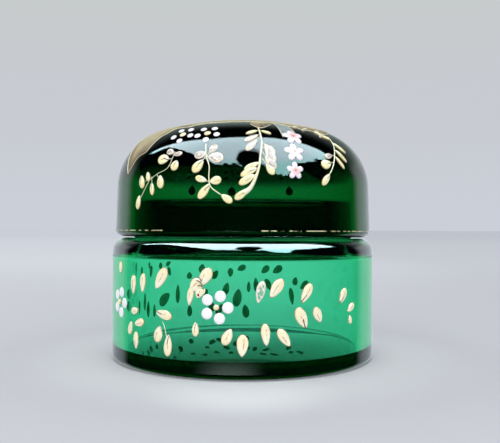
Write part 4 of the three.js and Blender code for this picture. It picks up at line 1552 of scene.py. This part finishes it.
@dataclass
class BaseBowl:
    """The bowl with its foot ring, rounded shoulder and collar, and the enamel on it."""

    wall: float = 5.4 * MM
    floor: float = 4.5 * MM
    seat_height: float = 40.8 * MM
    foot_round: float = 2.0 * MM
    foot_ring: float = 8.0 * MM
    foot_recess: float = 0.8 * MM
    foot_blend: float = 2.5 * MM
    shoulder_round: float = 4.6 * MM
    floor_fillet: float = 0.35 * MM
    inner_shoulder_height: float = 4.2 * MM
    inner_shoulder_depth: float = 2.6 * MM
    collar_radius: float = 37.4 * MM
    collar_wall: float = 3.5 * MM
    collar_lip: float = 1.2 * MM
    collar_foot: float = 0.5 * MM
    relief: float = 0.75 * MM
    leaf_relief_share: float = 0.75
    white_relief_share: float = 0.6
    red_relief_share: float = 1.05
    dot_unevenness: float = 0.12 * MM
    leaf_length: float = 7.4 * MM
    worn_reach_share: float = 0.4
    marked_share: float = 0.45
    spread: float = 1.12
    stroke_radius: float = 0.13 * MM
    stroke_lift: float = 7.0
    hook_radius: float = 0.2 * MM
    stalk_radius: float = 0.1 * MM

    def section(self, radius: float, top: float) -> list[Point]:
        """Gives the whole section, from the middle of the underside round to the middle of the floor.

        Args:
            radius: The outside radius.
            top: The height of the collar.

        Returns:
            The section's points, outside going up.
        """
        recess = radius - self.foot_ring - self.foot_blend
        seat, shoulder = self.seat_height, self.shoulder_round
        lip, bead = self.collar_lip, self.collar_foot
        inside = self.collar_radius - self.collar_wall
        hollow = radius - self.wall
        inner_round = self.inner_shoulder_height
        inner_shoulder = seat - self.inner_shoulder_depth - inner_round
        foot, fillet = self.foot_round, self.floor_fillet
        return [
            (0.0, self.foot_recess),
            *arc((recess, 0.0), self.foot_blend, self.foot_recess, 90, 0, BLEND_STEPS),
            *arc((radius - foot, foot), foot, foot, -90, 0, ROUND_STEPS),
            *arc((radius - shoulder, seat - shoulder), shoulder, shoulder, 0, 90, SHOULDER_STEPS),
            *arc((self.collar_radius + bead, seat + bead), bead, bead, 270, 180, BEAD_STEPS),
            *arc((self.collar_radius - lip, top - lip), lip, lip, 0, 90, LIP_STEPS),
            *arc((inside + lip, top - lip), lip, lip, 90, 180, LIP_STEPS),
            *arc((inside, inner_shoulder), hollow - inside, inner_round, 90, 0, SHOULDER_STEPS),
            *arc((hollow - fillet, self.floor + fillet), fillet, fillet, 0, -90, FILLET_STEPS),
            (0.0, self.floor),
        ]

    def build(self, kit: Kit) -> Enameller:
        """Makes the bowl.

        Args:
            kit: What the sub-assemblies share.

        Returns:
            The hand that enamels it.
        """
        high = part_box("base_bowl")[1]
        section = self.section(high.x, high.z)
        bowl = turned_glass("base_bowl", Body.BASE, section, BASE_GLASS, kit)
        wall = [(high.x, 0.0), (high.x, self.seat_height)]
        return Enameller(Body.BASE, bowl, GlassOutside(wall, self.seat_height), kit)

    def decorate(self, hand: Enameller) -> None:
        """Lays the leaves and dotted flowers, and the sprays of the far side.

        Args:
            hand: The base's enameller.
        """
        outside, relief, uneven = hand.outside, self.relief, self.dot_unevenness
        leaves = nodes_named("base_leaf_")
        dabs = [dab_of_node(n, outside, Shape.LEAF).spread(self.spread) for n in leaves]
        near = [self.worn_open(dab, outside) for dab in dabs]
        leaf_relief = self.leaf_relief_share * relief
        hand.dabs(Work("base_leaves", CREAM, leaves), near, leaf_relief, marked=self.marked_share)
        hand.dots("base_white", WHITE, self.white_relief_share * relief, uneven, self.spread, Slot.WHITE)
        hand.dots("base_gold", GOLD, relief, uneven)
        self.curled_leaf(hand)
        far = [leaf.dab(outside, self.leaf_length) for leaf in FAR_LEAVES]
        hand.dabs(Work("base_far_leaves", CREAM), far, relief)

    def worn_open(self, dab: Dab, outside: GlassOutside) -> Dab:
        """Gives a leaf, rubbed open if it lies at the one rubbed place."""
        away = outside.point(dab.spot) - outside.point(outside.drawn(*WORN_LEAF_SHARES))
        return replace(dab, wear_and_sheen=float(away.length < self.worn_reach_share * self.leaf_length))

    def curled_leaf(self, hand: Enameller) -> None:
        """Lays the curled leaf with its strokes, hooked tip and dot, and draws the bare stalk.

        Args:
            hand: The base's enameller.
        """
        outside, length = hand.outside, self.leaf_length
        middle = outside.drawn(*CURL_PLACE_SHARES)

        def spot(right: float, up: float) -> Spot:
            """Gives the spot at shares of a leaf's length from the middle."""
            return outside.beside(middle, right * length, up * length)

        curl = [
            Dab(spot(right, up), math.radians(lean), share * length, share * width * length)
            for right, up, lean, share, width in CURL_DAB_SHARES
        ]
        strokes = [[spot(*p) for p in line] for line in CURL_STROKE_SHARES]
        hook = [spot(*p) for p in CURL_HOOK_SHARES]
        stalk = [outside.drawn(*p) for p in STALK_SHARES]
        dot = Dab(spot(*CURL_DOT_SHARES), 0.0, *(share * length for share in CURL_DOT_SIZE_SHARES))
        hand.dabs(Work("base_curled_leaf_dabs", CREAM, ["base_curled_leaf"]), curl, self.relief)
        fine = [[self.stroke_radius] * len(line) for line in strokes]
        hand.trails(Work("base_curled_leaf_strokes", UMBER), strokes, fine, lift=self.stroke_lift, sides=6)
        girths = [[self.hook_radius] * len(hook), [self.stalk_radius] * len(stalk)]
        hand.trails(Work("base_curled_leaf_hook", CREAM), [hook, stalk], girths, sides=8)
        red_relief = self.red_relief_share * self.relief
        hand.dabs(Work("base_curled_leaf_dot", MADDER), [dot], red_relief, Shape.ROUND, 0.1 * MM)


@dataclass
class LidDome:
    """The domed lid, and the enamel and gilding on it."""

    wall: float = 6.0 * MM
    rim_round: float = 2.2 * MM
    inner_rim_round: float = 0.8 * MM
    shoulder_radius: float = 20.0 * MM
    crown_radius: float = 102.0 * MM
    draft: float = math.radians(1.55)
    pattern_height: float = 71.8 * MM
    relief: float = 0.7 * MM
    dot_relief_share: float = 0.5
    blossom_relief_share: float = 0.6
    leaf_relief_share: float = 0.8
    fine_unevenness: float = 0.1 * MM
    unevenness: float = 0.15 * MM
    leaf_length: float = 4.8 * MM
    marked_share: float = 0.6
    stalk_in_leaf_share: float = 0.4
    stem_radius: float = 0.26 * MM
    stalk_radius: float = 0.09 * MM
    spread: float = 1.8
    rim_line: float = 1.9 * MM
    rim_line_width: float = 0.27 * MM
    outline_radius: float = 0.13 * MM
    film: float = 0.06 * MM
    thin_film: float = 0.045 * MM

    def dome(self, rim: Point, top: float, inward: float, steps: int) -> list[Point]:
        """Points of a dome from the top of its drafted wall to the middle of its crown.

        Args:
            rim: Radius and height of the wall's foot.
            top: Height of the crown.
            inward: How far the dome lies inside the outer one.
            steps: Steps on the shoulder; the crown has a third.

        Returns:
            The points, both arcs touching each other and the wall.
        """
        shoulder, crown = self.shoulder_radius - inward, self.crown_radius - inward
        slope = math.tan(self.draft)
        crown_centre = top - crown
        reach = rim[0] - shoulder / math.cos(self.draft) + rim[1] * slope
        a = 1 + slope * slope
        b = -2 * (reach * slope + crown_centre)
        c = reach * reach + crown_centre * crown_centre - (crown - shoulder) ** 2
        height = (-b + math.sqrt(b * b - 4 * a * c)) / (2 * a)
        centre = (reach - height * slope, height)
        meet = math.degrees(math.atan2(centre[1] - crown_centre, centre[0]))
        return [
            *arc(centre, shoulder, shoulder, math.degrees(self.draft), meet, steps),
            *arc((0.0, crown_centre), crown, crown, meet, 90, steps // 3)[1:],
        ]

    def build(self, kit: Kit) -> Enameller:
        """Makes the dome.

        Args:
            kit: What the sub-assemblies share.

        Returns:
            The hand that enamels it.
        """
        low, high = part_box("lid_dome")
        radius, foot, inner = high.x, low.z, high.x - self.wall
        tip, rim = self.inner_rim_round, self.rim_round
        outside = self.dome((radius, foot), high.z, 0.0, DOME_STEPS)
        section = [
            *reversed(self.dome((inner, foot), high.z - self.wall, self.wall, HOLLOW_STEPS)),
            *arc((inner + tip, foot + tip), tip, tip, 180, 270, BLEND_STEPS),
            *arc((radius - rim, foot + rim), rim, rim, -90, 0, ROUND_STEPS),
            *outside,
        ]
        dome = turned_glass("lid_dome", Body.LID, section, LID_GLASS, kit)
        return Enameller(Body.LID, dome, GlassOutside([(radius, foot), *outside], self.pattern_height), kit)

    def decorate(self, hand: Enameller) -> None:
        """Lays the dotted flowers, blossoms and sprays, then the gilding.

        Args:
            hand: The lid's enameller.
        """
        low_relief, fine = self.dot_relief_share * self.relief, self.fine_unevenness
        hand.dots("lid_white", WHITE, low_relief, fine, slot=Slot.WHITE)
        hand.dots("lid_gold", GOLD, low_relief, fine, self.spread)
        blossoms = []
        for turn, rise, share in BLOSSOM_SHARES:
            width = share * self.leaf_length
            blossoms.append(Dab(hand.outside.drawn(turn, rise), 0.0, width, width))
        hand.dabs(
            Work("lid_blossoms", BLOSSOM, nodes_named("lid_blossom_"), Slot.BLOSSOM), blossoms,
            self.blossom_relief_share * self.relief, Shape.BLOSSOM, self.unevenness,
        )
        self.spray(hand, "lid_sprays", LID_SPRAYS, nodes_named("lid_spray_"))
        self.spray(hand, "lid_far_pendants", FAR_PENDANTS, ())
        self.gild(hand)

    def spray(self, hand: Enameller, name: str, sprays: Sequence[Spray], nodes: Sequence[str]) -> None:
        """Lays sprays: leaves, and stems with stalks.

        Args:
            hand: The lid's enameller.
            name: The start of the pieces' names.
            sprays: The sprays.
            nodes: The CAD nodes that they stand for.
        """
        outside, dabs, lines, girths = hand.outside, [], [], []
        for spray in sprays:
            lines.append([outside.drawn(*p) for p in spray.stem])
            last = len(spray.stem) - 1
            radius = self.stem_radius * spray.girth
            girths.append([radius * (1 + (spray.thickening - 1) * (i / last) ** 3) for i in range(last + 1)])
            for leaf in spray.leaves:
                dab = leaf.dab(outside, self.leaf_length)
                root = outside.drawn(*along(spray.stem, leaf.grows))
                across = (dab.spot.turn - root.turn) * outside.radius(dab.spot)
                away = Vector((across, dab.spot.distance - root.distance))
                to_root = math.atan2(away.x, away.y) + math.pi
                dabs.append(dab if leaf.lean else replace(dab, lean=to_root))
                # A stalk starts inside its leaf, and a short one keeps a tenth of the way to its root
                inside = self.stalk_in_leaf_share * dab.length / max(away.length, 0.1 * MM)
                lines.append([root, dab.spot.toward(root, min(inside, 0.9))])
                girths.append([self.stalk_radius] * 2)
        hand.dabs(
            Work(name + "_leaves", STRAW, nodes), dabs, self.leaf_relief_share * self.relief,
            unevenness=self.unevenness, marked=self.marked_share,
        )
        hand.trails(Work(name + "_stems", CREAM, nodes), lines, girths)

    def gild(self, hand: Enameller) -> None:
        """Lays the panel on the crown, its outline and the line round the rim.

        Args:
            hand: The lid's enameller.
        """
        outside = hand.outside
        edge = [(turn + half * 180, rise) for half in range(2) for turn, rise in PANEL_EDGE_SHARES]
        edge.append((edge[0][0] + 360, edge[0][1]))
        shares = [i / OUTLINE_STEPS for i in range(OUTLINE_STEPS + 1)]
        outline = [outside.drawn(*along(edge, share)) for share in shares]
        panel = [(spot, Spot(spot.turn, outside.lengths[-1])) for spot in outline]
        hand.film(Work("lid_crown_panel", BRONZE), panel, PANEL_ROWS, self.film)
        pendant, wedge = (
            [(outside.drawn(turn, low), outside.drawn(turn, high)) for turn, low, high in lines]
            for lines in (PENDANT_LINE_SHARES, WEDGE_LINE_SHARES)
        )
        hand.film(Work("lid_pendant_panel", BRONZE), pendant, HANGING_ROWS, self.thin_film)
        hand.film(Work("lid_wedge_panel", SILVERED), wedge, HANGING_ROWS, self.thin_film)
        drawn = [outline, [low for low, _ in pendant], wedge[0][::-1], wedge[-1]]
        girths = [[self.outline_radius] * len(line) for line in drawn]
        hand.trails(Work("lid_panel_outline", GILT), drawn, girths, lift=0.1, spacing=0.6 * MM, sides=8)
        crown = [leaf.dab(outside, self.leaf_length) for leaf in CROWN_LEAVES]
        hand.dabs(Work("lid_crown_leaves", GILT), crown, self.relief, unevenness=self.fine_unevenness)
        low, high = self.rim_line, self.rim_line + self.rim_line_width
        for number, (start, end) in enumerate(RIM_LINE_DEGREES, 1):
            degrees = [start + (end - start) * i / RIM_LINE_STEPS for i in range(RIM_LINE_STEPS + 1)]
            line = [(Spot(turn, low), Spot(turn, high)) for turn in map(math.radians, degrees)]
            hand.film(Work(f"lid_rim_line_{number}", WORN_GILT), line, RIM_LINE_ROWS, self.film)


@dataclass
class Studio:
    """Pale floor and backdrop, soft light from above the front, and the camera.

    The focal length, the box's axis on the horizon and the picture's size are in pixels of the photograph.
    """

    eye: Triple = (0.0, -237.0 * MM, 43.7 * MM)
    focal_pixels: float = 672.0
    axis_pixel: Point = (243.0, 229.0)
    picture: Point = (500.0, 443.0)
    sensor: float = 36.0
    nearest: float = 0.01
    roll: float = math.radians(0.3)
    floor_size: float = 30.0
    paper: Colour = (0.605, 0.615, 0.64, 1.0)
    paper_behind: Colour = (0.69, 0.705, 0.73, 1.0)
    paper_far: Colour = (0.635, 0.655, 0.69, 1.0)
    # Painted light: the floor paler round the box, and palest round the front point in front of it
    painted_light_around: Colour = (0.73, 0.75, 0.765, 1.0)
    painted_light_in_front: Colour = (0.81, 0.83, 0.84, 1.0)
    front: Triple = (0.0, -0.055, 0.0)
    horizon: Colour = srgb(203, 207, 216)
    backdrop: Colour = srgb(200, 203, 209)
    high_backdrop: Colour = srgb(199, 203, 204)
    mirrored_gain: Triple = (1.25, 1.3, 1.3)
    seen_through_gain: float = 1.25
    high_box: Colour = (8.74, 11.5, 12.42, 1.0)
    low_box: Colour = (5.175, 10.695, 10.58, 1.0)
    dark: Colour = (0.004, 0.006, 0.009, 1.0)
    haze: Colour = (0.32, 0.41, 0.38, 1.0)
    sheen: Colour = (1.4, 1.85, 1.7, 1.0)
    fill: Colour = (0.93, 0.945, 0.99, 1.0)
    fill_through_glass: Colour = (0.465, 0.4725, 0.495, 1.0)
    behind_glass: Colour = (0.02, 0.024, 0.028, 1.0)
    lamp_place: Triple = (-0.05, -0.7, 0.32)
    lamp_aim: Triple = (0.0, 0.0, 0.04)
    lamp_size: Point = (1.0, 0.6)
    lamp_watts: float = 2.0
    lamp_colour: Triple = (1.0, 0.99, 0.97)

    def camera(self) -> None:
        """Places the camera so that the box's axis and the horizon fall where the picture has them."""
        data = bpy.data.cameras.new("camera")
        data.sensor_width = self.sensor
        data.lens = self.focal_pixels / self.picture[0] * self.sensor
        data.clip_start = self.nearest
        yaw = math.atan2(self.picture[0] / 2 - self.axis_pixel[0], self.focal_pixels)
        pitch = math.atan2(self.axis_pixel[1] - self.picture[1] / 2, self.focal_pixels)
        turned = Matrix.Rotation(-yaw, 4, "Z") @ Matrix.Rotation(math.pi / 2 + pitch, 4, "X")
        camera = linked("camera", data)
        place = Matrix.Translation(Vector(self.eye))
        camera.matrix_world = place @ turned @ Matrix.Rotation(self.roll, 4, "Z")
        bpy.context.scene.camera = camera

    def floor(self) -> None:
        """Lays a pale floor that reaches the horizon, with painted light round the box and most in front of
        it.

        Towards the right it has painted shade.
        """
        material, tree, shader = new_material("floor_paper", {"Roughness": 0.9, "Specular IOR Level": 0.0})
        place = tree.place()
        right, away, _ = tree.parts(place)
        from_box, from_front = tree.size("LENGTH", place), tree.size("DISTANCE", place, self.front)
        tree.feed(shader["Base Color"], tree.layered(self.paper, (
            (tree.rise(away, 0.1, 0.6), self.paper_behind),
            (tree.rise(away, 0.6, 4.0), self.paper_far),
            # Painted light round the box, and a painted pool of light in front of it
            (tree.rise(from_box, 0.085, 0.048), self.painted_light_around),
            (tree.rise(from_front, 0.03, 0.008), self.painted_light_in_front),
            # Painted shade: the floor darker towards the right
            (tree.times(tree.rise(right, 0.02, 0.3), 0.12), BLACK),
        )))
        size = self.floor_size
        corners = [(-size, -size, 0), (size, -size, 0), (size, size, 0), (-size, size, 0)]
        mesh = plain_mesh("floor", corners, faces=[(0, 1, 2, 3)])
        mesh.materials.append(material)
        floor = linked("floor", mesh)
        floor.visible_glossy = False

    def world(self) -> None:
        """Surrounds the box: pale to the eye and through the glass, with a soft box for reflections."""
        world = bpy.data.worlds.new("surroundings")
        bpy.context.scene.world = world
        world.use_nodes = True
        tree = Tree(world.node_tree)
        way = tree.node("ShaderNodeTexCoord").outputs["Generated"]
        right, away, up = tree.parts(way)
        heading = tree.parts(tree.vector("NORMALIZE", tree.joined(right, away, 0.0)))[1]
        seen = tree.layered(self.horizon, (
            (tree.rise(up, 0.0, 0.18), self.backdrop), (tree.rise(up, 0.18, 0.32), self.high_backdrop),
        ))
        middle = tree.times(tree.rise(right, -0.68, -0.25), tree.rise(right, 0.35, -0.1))
        low_band = tree.times(tree.rise(up, -0.185, -0.215), tree.rise(up, -0.32, -0.25))
        mirrored = tree.layered(self.dark, (
            (tree.times(middle, low_band, tree.rise(away, -0.5, -0.75)), self.sheen),
            (tree.times(tree.rise(up, 0.93, 0.62), tree.rise(away, 0.35, 0.75)), self.haze),
            (tree.times(tree.rise(heading, 0.38, 0.6), tree.rise(up, 0.42, 0.25)),
             tree.vector("MULTIPLY", seen, self.mirrored_gain)),
            (self.soft_box(tree, way), tree.mix(tree.rise(up, 0.45, 0.8), self.low_box, self.high_box)),
        ))
        beyond = tree.times(tree.rise(heading, -0.1, 0.5), tree.rise(up, 0.6, 0.3))
        through = tree.mix(beyond, self.behind_glass, tree.scaled(seen, self.seen_through_gain))
        paths = tree.node("ShaderNodeLightPath").outputs
        lit = tree.math("MINIMUM", paths["Diffuse Depth"], 1.0)
        tree.feed(tree.own("BACKGROUND").inputs["Color"], tree.layered(self.fill, (
            (paths["Is Camera Ray"], seen), (paths["Is Reflection Ray"], mirrored),
            (paths["Is Diffuse Ray"], self.fill),
            (paths["Is Transmission Ray"], tree.mix(lit, through, self.fill_through_glass)),
        )))

    def soft_box(self, tree: Tree, way: Value) -> Socket:
        """Gives the shape that the soft box has in the glass, with its ragged near edge and the dark camera.

        Args:
            tree: The world's tree.
            way: The direction looked in.

        Returns:
            How much of the box is there.
        """
        right, away, up = tree.parts(way)
        height = tree.math("MAXIMUM", up, 0.02)
        side, ahead = (tree.math("DIVIDE", part, height) for part in (right, away))
        ragged = tree.times(tree.minus(tree.noise(way, 7.0, 6.0, 2.0)[0], 0.5), 0.42)
        left_part = tree.math("MAXIMUM", tree.minus(-0.3, side), 0.0)
        right_part = tree.math("MAXIMUM", side, 0.0)
        edge = tree.line(left_part, 0.62, tree.line(right_part, 0.2, 0.03))
        reach = tree.minus(edge, ahead)
        body = tree.math("MAXIMUM", tree.plus(tree.line(ragged, 0.6, side), 0.85), 0.0)
        thin_end = tree.rise(tree.minus(tree.line(body, 8.0, 0.12), reach), -0.05, 0.05)
        level = tree.math("SQRT", tree.minus(1.0, tree.math("MINIMUM", tree.times(up, up), 0.99)))
        bearing = tree.math("DIVIDE", right, level)
        in_dip = tree.times(tree.rise(bearing, 0.3, 0.56), tree.rise(bearing, 0.74, 0.62))
        dip = tree.times(in_dip, tree.rise(away, 0.0, -0.2))
        near = tree.rise(tree.minus(tree.plus(up, ragged), tree.line(dip, -0.33, 0.57)), -0.03, 0.03)
        across = tree.math("DIVIDE", tree.minus(side, 0.1), 0.24)
        lengthways = tree.math("DIVIDE", tree.plus(ahead, 1.12), 0.65)
        camera = tree.size("LENGTH", tree.joined(across, lengthways, 0.0))
        clear = tree.rise(tree.plus(camera, ragged), 0.85, 1.1)
        return tree.times(tree.rise(reach, -0.04, 0.04), thin_end, near, clear)

    def lamp(self) -> None:
        """Hangs the soft lamp above the front."""
        data = bpy.data.lights.new("soft_box", "AREA")
        data.shape = "RECTANGLE"
        data.size, data.size_y = self.lamp_size
        data.energy = self.lamp_watts
        data.color = self.lamp_colour
        lamp = linked("soft_box", data)
        lamp.location = self.lamp_place
        aim = Vector(self.lamp_aim) - lamp.location
        lamp.rotation_euler = aim.to_track_quat("-Z", "Y").to_euler()
        lamp.visible_glossy = lamp.visible_camera = lamp.visible_transmission = False

    def build(self) -> None:
        """Sets the whole studio up."""
        self.camera()
        self.floor()
        self.world()
        self.lamp()
        bpy.context.scene.view_settings.view_transform = "Standard"


def main() -> None:
    """Builds the box, then the studio round it."""
    logging.basicConfig(level=logging.INFO, format="%(name)s: %(message)s")
    kit = Kit(ShaderGroups(), GeometryTrees(), {shape: dab_template(shape) for shape in Shape})
    for assembly in (BaseBowl(), LidDome()):
        assembly.decorate(assembly.build(kit))
    for template in kit.templates.values():
        bpy.data.objects.remove(template)
    Studio().build()


if __name__ == "__main__":
    main()
